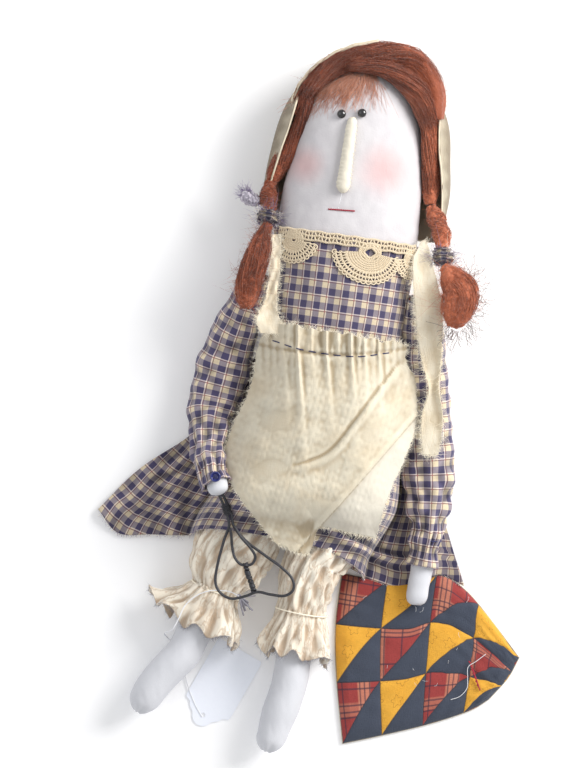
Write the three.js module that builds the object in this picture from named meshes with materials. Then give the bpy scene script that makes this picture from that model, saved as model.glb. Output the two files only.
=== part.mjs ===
// A primitive cloth doll lying on its back: stuffed muslin body, calico dress, apron, pantaloons and bonnet,
// wool hair in two pigtails, a wire rug beater in one hand and a patchwork quilt tacked under the other.
// Millimetres. +X is the doll's left, +Y points to its head and +Z up from the floor that it lies on.
// Places along Y are counted from the waist seam.

import * as THREE from 'three';

// Driving sizes of the body
const bodyLength = 380;
const bodyWidth = 122;
const bodyThickness = 73;
const bodyCentreX = -3;
const seatY = -142;
const backHeight = 3;
const backFlattening = 3;
const muslin = 1.1;
const seatingGap = 0.3;

// Clothes
const calico = 1.3;
const clothGap = 0.4;
const waistY = -8;
const necklineShare = 0.6158;
const skirtLength = 187;
const skirtFloorHeight = 2.4;
const skirtFold = 1.5;
const apronCloth = 0.9;
const laceThickness = 1.1;

// Arms
const shoulderY = 50;
const armThickness = 20;
const armMuslin = 1.1;
const sleeveWidth = 46;
const sleeveThickness = 32;
const handLift = 68.8;

// Legs
const hipY = -146;
const legLift = 1.4;
const legWidth = 37;
const legThickness = 36;
const pantaloonWidth = 68;
const pantaloonHeight = 49;

// Things in the hands
const wireDiameter = 2.4;
const bindingWire = 1;
const quiltThickness = 9;
const quiltCloth = 0.9;

// Hair and face
const rollDiameter = 23;
const strandWidth = 15;
const twistWidth = 17;
const eyeDiameter = 6.8;
const noseWidth = 10;
const noseLength = 59;
const flossDiameter = 1.1;

// Tag
const tagWidth = 43;
const tagLength = 74;
const tagCard = 0.5;
const stringDiameter = 0.9;

const point = (x, y, z) => new THREE.Vector3(x, y, z);
const upward = point(0, 0, 1);
const mix = (a, b, share) => a + (b - a) * share;

// A smooth curve through rows of [place, value, value ...]: cubic pieces with the slopes of their neighbours.
function curveAt(rows, place) {
  let row = 0;
  while (row < rows.length - 2 && place > rows[row + 1][0]) row += 1;
  const [start, end] = [rows[row], rows[row + 1]];
  const before = rows[Math.max(row - 1, 0)];
  const after = rows[Math.min(row + 2, rows.length - 1)];
  const span = end[0] - start[0];
  const t = Math.min(Math.max((place - start[0]) / span, 0), 1);
  const bend = 3 * t ** 2 - 2 * t ** 3;
  return start.slice(1).map((from, column) => {
    const to = end[column + 1];
    const startSlope = (to - before[column + 1]) * span / (end[0] - before[0]);
    const endSlope = (after[column + 1] - from) * span / (after[0] - start[0]);
    return mix(from, to, bend) + (t ** 3 - 2 * t ** 2 + t) * startSlope + (t ** 3 - t ** 2) * endSlope;
  });
}

// A closed geometry from points and triangles, turned so that its faces point outwards.
const triangleCorners = 3;
function closedBody(points, triangles) {
  let volume = 0;
  for (let corner = 0; corner < triangles.length; corner += triangleCorners) {
    const [a, b, c] = [0, 1, 2].map((step) => points[triangles[corner + step]]);
    volume += a.dot(b.clone().cross(c));
  }
  const geometry = new THREE.BufferGeometry();
  geometry.setFromPoints(points);
  geometry.setIndex(volume > 0 ? triangles : triangles.reverse());
  geometry.computeVertexNormals();
  return geometry;
}

// A skin over rings of points: capped at both ends, or joined last to first when it goes round a wall.
function loft(rings, goesRound = false) {
  const sides = rings[0].length;
  const points = rings.flat();
  const triangles = [];
  const bands = goesRound ? rings.length : rings.length - 1;
  for (let band = 0; band < bands; band += 1) {
    const near = band * sides;
    const far = ((band + 1) % rings.length) * sides;
    for (let side = 0; side < sides; side += 1) {
      const next = (side + 1) % sides;
      triangles.push(near + side, near + next, far + next, near + side, far + next, far + side);
    }
  }
  if (!goesRound) {
    const last = (rings.length - 1) * sides;
    for (const [ring, turn] of [[0, 1], [last, 0]]) {
      const centre = new THREE.Vector3();
      for (let side = 0; side < sides; side += 1) centre.addScaledVector(points[ring + side], 1 / sides);
      points.push(centre);
      for (let side = 0; side < sides; side += 1) {
        const next = (side + 1) % sides;
        const pair = turn ? [ring + next, ring + side] : [ring + side, ring + next];
        triangles.push(points.length - 1, ...pair);
      }
    }
  }
  return closedBody(points, triangles);
}

// An ellipse round a centre, flattened where it would sink below the floor height given.
function ellipse(centre, across, up, width, height, sides, floor = 0) {
  return Array.from({ length: sides }, (_, side) => {
    const angle = 2 * Math.PI * side / sides;
    const place = centre.clone()
      .addScaledVector(across, width / 2 * Math.cos(angle))
      .addScaledVector(up, height / 2 * Math.sin(angle));
    place.z = Math.max(place.z, floor);
    return place;
  });
}

// Even shares along the rows of a route.
const evenShares = (rows, steps) => Array.from({ length: steps + 1 }, (_, step) => (
  mix(rows[0][0], rows[rows.length - 1][0], step / steps)
));

// Rings along a limb whose route rows are [share, x, y, z, width, height].
function limbRings(rows, shares, sides, floor = 0, inset = 0) {
  const first = rows[0][0];
  const last = rows[rows.length - 1][0];
  const slice = (last - first) / (4 * shares.length);
  return shares.map((share) => {
    const [x, y, z, width, height] = curveAt(rows, share);
    const ahead = curveAt(rows, Math.min(share + slice, last));
    const behind = curveAt(rows, Math.max(share - slice, first));
    const tangent = point(ahead[0] - behind[0], ahead[1] - behind[1], ahead[2] - behind[2]).normalize();
    const across = tangent.clone().cross(upward).normalize();
    const up = across.clone().cross(tangent);
    return ellipse(point(x, y, z), across, up, width - 2 * inset, height - 2 * inset, sides, floor + inset);
  });
}

// A stuffed limb, and the open cloth tube that surrounds one.
const limb = (rows, steps, sides, floor = 0) => loft(limbRings(rows, evenShares(rows, steps), sides, floor));
const clothTube = (rows, sides, cloth, floor = 0) => {
  const shares = rows.map(([share]) => share);
  const outside = limbRings(rows, shares, sides, floor);
  const inside = limbRings(rows, shares, sides, floor, cloth);
  return loft([...outside, ...inside.reverse()], true);
};

// A sheet of cloth: middle(u, v) is its middle surface, keep says which cells are cloth, and a padded sheet has
// its thickness measured straight up, as a value or as a function of u and v.
function sheet(columns, rows, thickness, middle, keep = () => true, padded = false) {
  const thicknessAt = typeof thickness === 'function' ? thickness : () => thickness;
  const nudge = 1 / (20 * Math.max(columns, rows));
  const top = [];
  const bottom = [];
  for (let row = 0; row <= rows; row += 1) {
    for (let column = 0; column <= columns; column += 1) {
      const [u, v] = [column / columns, row / rows];
      const along = middle(Math.min(u + nudge, 1), v).sub(middle(Math.max(u - nudge, 0), v));
      const down = middle(u, Math.min(v + nudge, 1)).sub(middle(u, Math.max(v - nudge, 0)));
      const normal = padded ? upward : down.cross(along).normalize();
      top.push(middle(u, v).addScaledVector(normal, thicknessAt(u, v) / 2));
      bottom.push(middle(u, v).addScaledVector(normal, -thicknessAt(u, v) / 2));
    }
  }
  const points = [];
  const places = new Map();
  const cornerIndex = (column, row, onTop) => {
    const grid = row * (columns + 1) + column;
    const key = onTop ? grid : -1 - grid;
    if (!places.has(key)) {
      places.set(key, points.length);
      points.push(onTop ? top[grid] : bottom[grid]);
    }
    return places.get(key);
  };
  const isCloth = (column, row) => column >= 0 && row >= 0 && column < columns && row < rows && keep(column, row);
  const triangles = [];
  const quad = (a, b, c, d) => triangles.push(a, b, c, a, c, d);
  for (let row = 0; row < rows; row += 1) {
    for (let column = 0; column < columns; column += 1) {
      if (!isCloth(column, row)) continue;
      const corners = [[column, row], [column + 1, row], [column + 1, row + 1], [column, row + 1]];
      const neighbours = [[column, row - 1], [column + 1, row], [column, row + 1], [column - 1, row]];
      const upper = corners.map(([c, r]) => cornerIndex(c, r, true));
      const lower = corners.map(([c, r]) => cornerIndex(c, r, false));
      quad(...upper);
      quad(lower[0], lower[3], lower[2], lower[1]);
      neighbours.forEach(([c, r], edge) => {
        const next = (edge + 1) % neighbours.length;
        if (!isCloth(c, r)) quad(upper[next], upper[edge], lower[edge], lower[next]);
      });
    }
  }
  return closedBody(points, triangles);
}

// A wire, thread or string: a round section carried along a smooth route.
function strand(route, diameter, sides, steps, closed = false) {
  const section = new THREE.Shape(Array.from({ length: sides }, (_, side) => {
    const angle = 2 * Math.PI * side / sides;
    return new THREE.Vector2(diameter / 2 * Math.cos(angle), diameter / 2 * Math.sin(angle));
  }));
  const path = new THREE.CatmullRomCurve3(route, closed, 'centripetal');
  return new THREE.ExtrudeGeometry(section, { steps, extrudePath: path });
}

const doll = new THREE.Group();
doll.name = 'rag_doll';

function piece(name, geometry, colour, roughness = 0.95, metalness = 0) {
  const material = new THREE.MeshStandardMaterial({ color: colour, roughness, metalness });
  const mesh = new THREE.Mesh(geometry, material);
  mesh.name = name;
  doll.add(mesh);
  return mesh;
}

const muslinWhite = 0xe9e6e2;
const cream = 0xeadfbf;
const calicoBlue = 0x6d6a8c;
const auburn = 0x8c3a1d;
const stuffingWhite = 0xf4f3ee;

// Body: head and torso are one bullet-shaped muslin bag, [share of length, share of width, share of thickness].
const bodyShares = [
  [0, 0.74, 0.76], [0.04, 0.83, 0.93], [0.14, 0.84, 0.97], [0.37, 0.85, 0.98], [0.48, 0.93, 1], [0.61, 0.985, 1],
  [0.72, 0.95, 1], [0.81, 0.89, 0.96], [0.885, 0.81, 0.88], [0.93, 0.69, 0.77], [0.96, 0.54, 0.61],
  [0.985, 0.33, 0.38], [1, 0.08, 0.1],
];
const crownY = seatY + bodyLength;
const necklineY = mix(seatY, crownY, necklineShare);
const bodyCentreZ = backHeight + bodyThickness / 2 - backFlattening;
const bodySection = (y) => {
  const [wide, thick] = curveAt(bodyShares, (y - seatY) / bodyLength);
  return [wide * bodyWidth / 2, thick * bodyThickness / 2];
};
const bodyFrontHeight = (x, y, outset = 0) => {
  const [a, b] = bodySection(y);
  return bodyCentreZ + (b + outset) * Math.sqrt(Math.max(0, 1 - ((x - bodyCentreX) / (a + outset)) ** 2));
};
const bodyRow = (y, outset = 0) => {
  const [a, b] = bodySection(y);
  return [(y - seatY) / bodyLength, bodyCentreX, y, bodyCentreZ, 2 * (a + outset), 2 * (b + outset)];
};
const waistShare = (waistY - seatY) / bodyLength;
const neckShare = (necklineY - seatY) / bodyLength;
const seatTopShare = 0.24;
const seatRingShares = [0.004, 0.05, 0.14, seatTopShare];
const bodiceRingShares = [0, 0.3, 0.6, 1].map((share) => mix(waistShare, neckShare, share));
const bodyRingShares = [
  0, ...seatRingShares.slice(1), ...bodiceRingShares, 0.72, 0.8, 0.86, 0.91, 0.945, 0.97, 0.985, 1,
];
const bodyRings = (shares, sides, inset, floor) => shares.map((share) => {
  const [, x, y, z, width, height] = bodyRow(seatY + share * bodyLength, -inset);
  return ellipse(point(x, y, z), point(1, 0, 0), upward, width, height, sides, floor);
});
const stuffingRingShares = [0.01, 0.14, seatTopShare, ...bodiceRingShares, 0.72, 0.8, 0.86, 0.91, 0.965];
const stuffingInset = muslin + 2 * seatingGap;
piece('head_and_torso_skin', loft([
  ...bodyRings(bodyRingShares.slice(0, -1), 20, muslin, backHeight + muslin).reverse(),
  ...bodyRings(bodyRingShares, 20, 0, backHeight),
]), muslinWhite);
piece('torso_stuffing', loft(bodyRings(stuffingRingShares, 10, stuffingInset, backHeight + stuffingInset)),
  stuffingWhite);

// Face
const eyeShares = { right: [-0.3115, 0.8816], left: [-0.0328, 0.8895] };
for (const [side, [across, up]] of Object.entries(eyeShares)) {
  const x = bodyCentreX + across * bodyWidth / 2;
  const y = mix(seatY, crownY, up);
  const bead = new THREE.SphereGeometry(eyeDiameter / 2, 8, 6);
  bead.rotateX(Math.PI / 2);
  const lift = eyeDiameter / 2 - seatingGap / 3;
  const mesh = piece(`${side}_eye_bead`, bead, 0x0b0a0c, 0.15);
  mesh.position.set(x, y, bodyFrontHeight(x, y) + lift);
}
const noseXShare = -0.1557;
const noseTopShare = 0.8684;
const noseX = bodyCentreX + noseXShare * bodyWidth / 2;
const noseTopY = mix(seatY, crownY, noseTopShare);
const noseShares = [
  [0, 0.45, 0.4], [0.06, 0.68, 0.72], [0.3, 0.8, 0.86], [0.7, 0.96, 0.95], [0.92, 1, 1], [0.98, 0.8, 0.75], [1, 0.4, 0.4],
];
const noseRows = noseShares.map(([share, wide, high]) => {
  const y = noseTopY - share * noseLength;
  const height = noseWidth * high;
  const z = bodyFrontHeight(noseX, y) + height / 2;
  return [share, noseX, y, z, noseWidth * wide, height];
});
piece('nose', limb(noseRows, 9, 8), muslinWhite);
const mouthShare = 0.6697;
const mouthY = mix(seatY, crownY, mouthShare);
const mouthWidth = 22;
const mouthShift = 8;
const mouthLeftX = bodyCentreX - mouthShift - mouthWidth / 2;
const mouthRoute = [0, 0.25, 0.5, 0.75, 1].map((share) => {
  const x = mouthLeftX + share * mouthWidth;
  return point(x, mouthY, bodyFrontHeight(x, mouthY) + flossDiameter / 2 + seatingGap);
});
piece('mouth_stitch', strand(mouthRoute, flossDiameter, 6, 6), 0x9c2f3c);

// Bodice: a calico tube round the chest from the waist seam to the neckline
const bodyTube = (shares, inner, outer, innerFloor, outerFloor) => loft([
  ...bodyRings(shares, 20, -outer, outerFloor),
  ...bodyRings(shares, 20, -inner, innerFloor).reverse(),
], true);
const bodiceOutset = clothGap + calico;
piece('bodice', bodyTube(bodiceRingShares, clothGap, bodiceOutset, calico, 0), calicoBlue);

// Skirt front: [share down, centre x, half width, height] of the dome that it makes over the body and thighs
const domeShares = [
  [0, 0, 0.775, 1], [0.12, 0.034, 0.804, 1.01], [0.3, 0.057, 0.875, 1.005], [0.52, 0.014, 0.986, 0.985],
  [0.66, -0.034, 1.047, 0.96], [0.73, -0.1, 1.06, 0.865], [0.8, -0.18, 1.065, 0.7], [0.9, -0.267, 1.045, 0.67],
  [1, -0.285, 1.037, 0.665],
];
const domeHalfWidth = 74;
const domeHeight = 77;
const domePower = 3;
const domeLength = 187;
const domeAt = (y) => {
  const [centre, half, height] = curveAt(domeShares, (waistY - y) / domeLength);
  return [bodyCentreX + centre * domeHalfWidth, half * domeHalfWidth, height * domeHeight];
};
const foldAt = (x, y) => {
  const down = Math.min(Math.max((waistY - y) / skirtLength, 0), 1);
  return skirtFold * (0.15 + 0.85 * down) * (0.5 + 0.5 * Math.sin(2 * Math.PI * x / (domeHalfWidth / 4)));
};
const skirtHeight = (x, y, fold = foldAt(x, y)) => {
  const [centre, half, height] = domeAt(y);
  const reach = Math.min(Math.abs(x - centre) / half, 1);
  const dome = (1 - reach ** domePower) ** (1 / domePower);
  return skirtFloorHeight + (height - skirtFloorHeight) * dome + fold;
};
// Hem: [share across, share of the skirt's length], and the two side edges: [share down, distance out]
const hemShares = [
  [0, 0.85], [0.06, 0.945], [0.15, 0.93], [0.25, 0.91], [0.35, 0.865], [0.5, 0.86], [0.65, 0.915], [0.75, 0.955],
  [0.86, 0.965], [0.93, 0.905], [1, 0.965],
];
const wingReach = 181;
const flareReach = 138;
const rightEdgeShares = [[0, 0.345], [0.3, 0.45], [0.55, 0.63], [0.75, 0.83], [1, 1]];
const leftEdgeShares = [[0, 0.42], [0.3, 0.56], [0.55, 0.72], [0.75, 0.85], [1, 1]];
const domeFoot = 0.25;
const hemY = (across) => waistY - curveAt(hemShares, across)[0] * skirtLength;
function skirtFront(u, v) {
  const y = mix(waistY - clothGap, hemY(u), v);
  const [centre, half, height] = domeAt(y);
  const onDome = Math.min(Math.max((u - domeFoot) / (1 - 2 * domeFoot), 0), 1);
  const angle = Math.PI * onDome;
  const dome = Math.abs(Math.cos(angle)) ** (2 / domePower) * Math.sign(-Math.cos(angle));
  let x = centre + half * dome;
  if (u < domeFoot) {
    x = mix(-curveAt(rightEdgeShares, v)[0] * wingReach, centre - half, u / domeFoot);
  } else if (u > 1 - domeFoot) {
    x = mix(centre + half, curveAt(leftEdgeShares, v)[0] * flareReach, (u - 1 + domeFoot) / domeFoot);
  }
  const rise = u > domeFoot && u < 1 - domeFoot ? Math.sin(angle) ** (2 / domePower) : 0;
  return point(x, y, skirtFloorHeight + (height - skirtFloorHeight) * rise + foldAt(x, y));
}
piece('skirt_front', sheet(30, 10, calico, skirtFront), calicoBlue);
const backInset = 2;
const skirtBack = (u, v) => {
  const left = curveAt(rightEdgeShares, v)[0] * -wingReach + backInset;
  const right = curveAt(leftEdgeShares, v)[0] * flareReach - backInset;
  return point(mix(left, right, u), mix(waistY - clothGap, hemY(u) + backInset, v), calico / 2);
};
piece('skirt_back', sheet(12, 5, calico, skirtBack), calicoBlue);

// Apron over the skirt front: [share down, left edge, right edge] as shares of the dome's half width
const apronTopY = 12;
const apronLength = 190;
const apronEdgeShares = [
  [0, -0.92, 0.92], [0.3, -0.93, 0.93], [0.5, -0.92, 0.9], [0.65, -0.9, 0.86], [0.78, -0.76, 0.82],
  [0.9, -0.38, 0.84], [1, -0.06, 0.86],
];
const apronBottomShares = [[0, 0.97], [0.25, 0.995], [0.42, 1], [0.55, 0.885], [0.8, 0.875], [1, 0.885]];
const apronClear = 1.9;
function apronMiddle(u, v) {
  const down = v * mix(1, curveAt(apronBottomShares, u)[0], v);
  const y = apronTopY - down * apronLength;
  const [left, right] = curveAt(apronEdgeShares, v);
  const [centre, half] = domeAt(y);
  const onDome = (reach) => Math.acos(Math.sign(reach) * Math.abs(reach) ** (domePower / 2));
  const turn = Math.cos(mix(onDome(left), onDome(right), u));
  const x = centre + half * Math.sign(turn) * Math.abs(turn) ** (2 / domePower);
  const onBodice = bodyFrontHeight(x, y, bodiceOutset) + apronCloth / 2 + apronClear;
  const height = (across) => skirtHeight(across, y, skirtFold);
  const slope = (height(x + apronClear) - height(x - apronClear)) / (2 * apronClear);
  const lift = ((calico + apronCloth) / 2 + apronClear) * Math.sqrt(1 + slope ** 2);
  return point(x, y, y < waistY ? height(x) + lift : Math.max(onBodice, height(x) + lift));
}
piece('apron', sheet(16, 12, apronCloth, apronMiddle), cream);

// Legs: the route is [share of length down, share of spread out], the sizes [share along, width, height]
const legLength = 190;
const legSpread = 86;
const legSeam = 1.2;
const legCentreHeight = 22;
const legEndShare = { right: 0.975, left: 1.07 };
const legRouteShares = {
  right: [[0, -0.43], [0.08, -0.47], [0.19, -0.64], [0.4, -0.84], [0.63, -1], [0.84, -1.3], [1, -1.46]],
  left: [[0, 0.24], [0.08, 0.22], [0.2, 0.14], [0.42, 0.04], [0.63, 0.05], [0.86, -0.02], [1.1, -0.13]],
};
const legX = (side, down) => curveAt(legRouteShares[side], down)[0] * legSpread;
const legY = (down) => hipY - legSeam - down * legLength;
const legSizeShares = [
  [0, 0.86, 0.94], [0.06, 0.96, 1], [0.4, 0.98, 0.98], [0.7, 0.93, 0.95], [0.86, 0.9, 0.9], [0.95, 0.76, 0.74],
  [0.985, 0.5, 0.5], [1, 0.24, 0.26],
];
const legRows = (side) => legSizeShares.map(([share, wide, high]) => {
  const down = share * legEndShare[side];
  return [share, legX(side, down), legY(down), legCentreHeight, legWidth * wide, legThickness * high];
});
const legSkinShares = [0, 0.06, 0.22, 0.4, 0.6, 0.8, 0.9, 0.96, 1];
const legStuffingShares = [0.004, 0.06, 0.22, 0.4, 0.6, 0.8, 0.9, 0.95];

// Pantaloon legs: [share of the leg's length, shift outwards, width, height], gathered above the ruffle
const pantaloonShares = {
  right: [
    [0.018, -0.01, 0.66, 0.93], [0.1, -0.08, 0.94, 1], [0.2, -0.06, 1, 0.97], [0.31, -0.03, 0.88, 0.93],
    [0.385, 0, 0.62, 0.85], [0.43, 0, 0.74, 0.88], [0.52, 0, 1, 0.9], [0.585, 0, 1.06, 0.92],
  ],
  left: [
    [0.018, -0.01, 0.66, 0.93], [0.11, -0.01, 0.84, 1], [0.205, -0.04, 0.76, 1], [0.32, -0.02, 0.7, 0.95],
    [0.43, 0, 0.62, 0.86], [0.48, 0, 0.7, 0.88], [0.57, -0.01, 0.83, 0.9], [0.635, -0.02, 0.86, 0.92],
  ],
};
const pantaloonRows = (side) => pantaloonShares[side].map(([down, shift, wide, high]) => [
  down, legX(side, down) + shift * legSpread, legY(down), pantaloonHeight * high / 2,
  pantaloonWidth * wide, pantaloonHeight * high,
]);
const seatCloth = 0.9;
const seatFloor = calico + seatingGap;
for (const side of ['right', 'left']) {
  const rows = legRows(side);
  piece(`${side}_leg_skin`, loft([
    ...limbRings(rows, legSkinShares.slice(0, -1), 12, legLift, muslin).reverse(),
    ...limbRings(rows, legSkinShares, 12, legLift),
  ]), muslinWhite);
  piece(`${side}_leg_stuffing`, loft(limbRings(rows, legStuffingShares, 12, legLift, stuffingInset)), stuffingWhite);
  piece(`${side}_pantaloon_leg`, clothTube(pantaloonRows(side), 16, calico, seatFloor), cream);
}
piece('pantaloon_seat',
  bodyTube(seatRingShares, clothGap, clothGap + seatCloth, seatFloor + seatCloth, seatFloor), cream);

// Arms: [share along, x, y, z, width, height] as shares of the arm's own sizes
const rightArmLength = 191;
const leftArmLength = 260;
const armLength = { right: rightArmLength, left: leftArmLength };
const armSpread = 40;
const rightArmStart = -73.2;
const leftArmStart = 67.4;
const armStartX = { right: rightArmStart, left: leftArmStart };
const armRouteShares = {
  right: [
    [0, 0, -0.02, 0.67], [0.15, 0.17, 0.15, 0.54], [0.35, 0.4, 0.37, 0.35], [0.55, 0.5, 0.55, 0.31],
    [0.7, 0.53, 0.7, 0.43], [0.85, 0.42, 0.86, 0.8], [1, 0.15, 0.98, 1.005],
  ],
  left: [
    [0, 0, -0.02, 0.67], [0.14, 0.14, 0.135, 0.5], [0.38, 0.45, 0.38, 0.33], [0.58, 0.7, 0.58, 0.285],
    [0.76, 0.82, 0.76, 0.27], [0.86, 0.79, 0.86, 0.235], [1, 0.79, 1, 0.213],
  ],
};
const armSizeShares = [[0, 0.5, 0.5], [0.05, 1, 1], [0.5, 1, 1], [0.8, 0.9, 0.8], [0.96, 0.8, 0.75], [1, 0.4, 0.4]];
const sleeveSizeShares = {
  right: [
    [0.02, 0.56, 0.86], [0.1, 0.6, 1], [0.3, 0.9, 1.02], [0.5, 1, 1], [0.65, 0.88, 0.94], [0.8, 0.62, 0.76],
    [0.9, 0.56, 0.72], [0.955, 0.58, 0.74],
  ],
  left: [
    [0.02, 0.56, 0.86], [0.12, 0.62, 1], [0.35, 0.8, 1.04], [0.58, 0.9, 1.02], [0.72, 0.66, 0.9], [0.78, 0.52, 0.74],
    [0.865, 0.58, 0.8],
  ],
};
const armRows = (side, sizes, width, height) => sizes.map(([share, wide, high]) => {
  const [out, down, up] = curveAt(armRouteShares[side], share);
  const x = armStartX[side] + (side === 'right' ? -1 : 1) * out * armSpread;
  return [share, x, shoulderY - down * armLength[side], up * handLift, wide * width, high * height];
});
const armSkinShares = [0, 0.05, 0.2, 0.35, 0.5, 0.65, 0.8, 0.9, 0.96, 1];
const armStuffingShares = [0.012, 0.05, 0.2, 0.35, 0.5, 0.65, 0.8, 0.9, 0.945];
for (const side of ['right', 'left']) {
  const rows = armRows(side, armSizeShares, armThickness, armThickness);
  piece(`${side}_arm_skin`, loft([
    ...limbRings(rows, armSkinShares.slice(0, -1), 10, 0, armMuslin).reverse(),
    ...limbRings(rows, armSkinShares, 10),
  ]), muslinWhite);
  const stuffing = limbRings(rows, armStuffingShares, 10, 0, armMuslin + 2 * seatingGap);
  piece(`${side}_arm_stuffing`, loft(stuffing), stuffingWhite);
  const sleeve = armRows(side, sleeveSizeShares[side], sleeveWidth, sleeveThickness);
  piece(`${side}_sleeve`, clothTube(sleeve, 14, calico), calicoBlue);
}

// Lace collar: three scallops of open netting round the front of the neckline
const collarStart = -1.1;
const collarSweep = 2.5;
const collarBand = 12;
const scallopDepth = 27;
const scallops = 3;
const collarMiddle = (u, v) => {
  const angle = collarStart + u * collarSweep;
  const depth = collarBand + scallopDepth * Math.abs(Math.sin(scallops * Math.PI * u)) ** 0.7;
  const y = necklineY - v * depth;
  const [a, b] = bodySection(y);
  const outset = bodiceOutset + seatingGap + laceThickness / 2;
  return point(
    bodyCentreX + (a + outset) * Math.sin(angle), y, bodyCentreZ + (b + outset) * Math.cos(angle),
  );
};
const isThread = (column, row) => column % 2 === 0 || row % 2 === 0;
piece('lace_collar', sheet(33, 7, laceThickness, collarMiddle, isThread), 0xe6d6b0);

// Hair: [share along, x of half the body's width, y of the body's length, z of its thickness, width, height]
const bodyPlace = ([share, x, y, z, wide, high], size) => [
  share, bodyCentreX + x * bodyWidth / 2, seatY + y * bodyLength, z * bodyThickness, wide * size, high * size,
];
const hairRollShares = [
  [0, -0.93, 0.87, 0.6, 0.45, 0.45], [0.2, -0.83, 0.927, 0.64, 0.6, 0.6], [0.4, -0.52, 0.984, 0.66, 0.75, 0.75],
  [0.6, -0.02, 1.0205, 0.735, 0.88, 0.88], [0.8, 0.575, 1.021, 0.735, 1, 1], [0.92, 0.88, 0.965, 0.72, 1.05, 1.05],
  [1, 0.98, 0.9, 0.7, 0.8, 0.8],
];
piece('hair_top_roll', limb(hairRollShares.map((row) => bodyPlace(row, rollDiameter)), 12, 10), auburn);
const sideHairShares = {
  right: [
    [0, -1.0, 0.85, 0.56, 0.5, 0.5], [0.2, -1.02, 0.81, 0.52, 0.9, 0.9], [0.7, -1.115, 0.745, 0.52, 1.02, 1],
    [1, -1.14, 0.715, 0.57, 0.7, 0.7],
  ],
  left: [
    [0, 0.98, 0.868, 0.6, 0.5, 0.5], [0.2, 1.01, 0.835, 0.56, 0.95, 0.95], [0.7, 1.06, 0.75, 0.54, 1.07, 1.07],
    [1, 1.09, 0.713, 0.57, 0.7, 0.7],
  ],
};
const twistShares = {
  right: [
    [0, -1.145, 0.7135, 0.585, 0.55, 0.55], [0.3, -1.16, 0.685, 0.63, 0.9, 0.85], [1, -1.11, 0.648, 0.69, 0.75, 0.75],
  ],
  left: [
    [0, 1.095, 0.7085, 0.585, 0.55, 0.55], [0.25, 1.19, 0.683, 0.63, 1, 0.95], [0.5, 1.25, 0.665, 0.66, 0.85, 0.85],
    [0.75, 1.3, 0.646, 0.7, 1, 0.95], [1, 1.34, 0.618, 0.76, 0.65, 0.65],
  ],
};
const ragTieShares = {
  right: [[0, -1.11, 0.643, 0.7, 0.85, 0.85], [0.5, -1.11, 0.632, 0.72, 1.1, 1], [1, -1.12, 0.62, 0.75, 0.8, 0.75]],
  left: [[0, 1.342, 0.6155, 0.765, 0.75, 0.75], [0.5, 1.36, 0.598, 0.79, 1, 0.9], [1, 1.375, 0.585, 0.815, 0.7, 0.7]],
};
const tailShares = {
  right: [
    [0, -1.12, 0.618, 0.755, 0.5, 0.5], [0.25, -1.17, 0.565, 0.88, 1.12, 0.75], [0.6, -1.25, 0.49, 0.93, 1.3, 0.85],
    [0.9, -1.25, 0.44, 0.92, 1, 0.7], [1, -1.24, 0.425, 0.91, 0.5, 0.4],
  ],
  left: [
    [0, 1.39, 0.578, 0.83, 0.5, 0.5], [0.2, 1.5, 0.56, 0.9, 1.3, 0.8], [0.5, 1.66, 0.525, 0.95, 1.85, 1],
    [0.85, 1.63, 0.472, 0.95, 1.5, 0.85], [1, 1.6, 0.448, 0.94, 0.6, 0.5],
  ],
};
for (const side of ['right', 'left']) {
  piece(`${side}_side_hair`, limb(sideHairShares[side].map((row) => bodyPlace(row, strandWidth)), 6, 8), auburn);
  piece(`${side}_pigtail_twist`, limb(twistShares[side].map((row) => bodyPlace(row, twistWidth)), 8, 8), auburn);
  piece(`${side}_rag_tie`, limb(ragTieShares[side].map((row) => bodyPlace(row, twistWidth)), 3, 10), calicoBlue);
  piece(`${side}_pigtail_tail`, limb(tailShares[side].map((row) => bodyPlace(row, twistWidth)), 8, 10), auburn);
}

// Bonnet: a half shell behind the head, [share up, half width, centre height, lowest height, turn to its edge]
const bonnetWidth = 161;
const bonnetStartY = 98;
const bonnetLength = 157;
const bonnetShares = [
  [0, 0.49, 0.52, 0.009, 0.8], [0.15, 0.497, 0.52, 0.009, 0.86], [0.45, 0.465, 0.52, 0.009, 1.02],
  [0.62, 0.43, 0.52, 0.009, 1.04], [0.75, 0.365, 0.5, 0.012, 1.04], [0.86, 0.28, 0.45, 0.06, 1.04],
  [0.95, 0.19, 0.4, 0.18, 1.04], [1, 0.09, 0.37, 0.27, 1.04],
];
const bonnetMiddle = (u, v) => {
  const [wide, centre, low, turn] = curveAt(bonnetShares, v);
  const angle = (2 * u - 1) * turn * Math.PI / 2;
  const z = (centre - (centre - low) * Math.cos(angle)) * bodyThickness;
  return point(wide * bonnetWidth * Math.sin(angle), bonnetStartY + v * bonnetLength, Math.max(z, apronCloth / 2));
};
piece('bonnet', sheet(14, 8, apronCloth, bonnetMiddle), cream);

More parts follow.
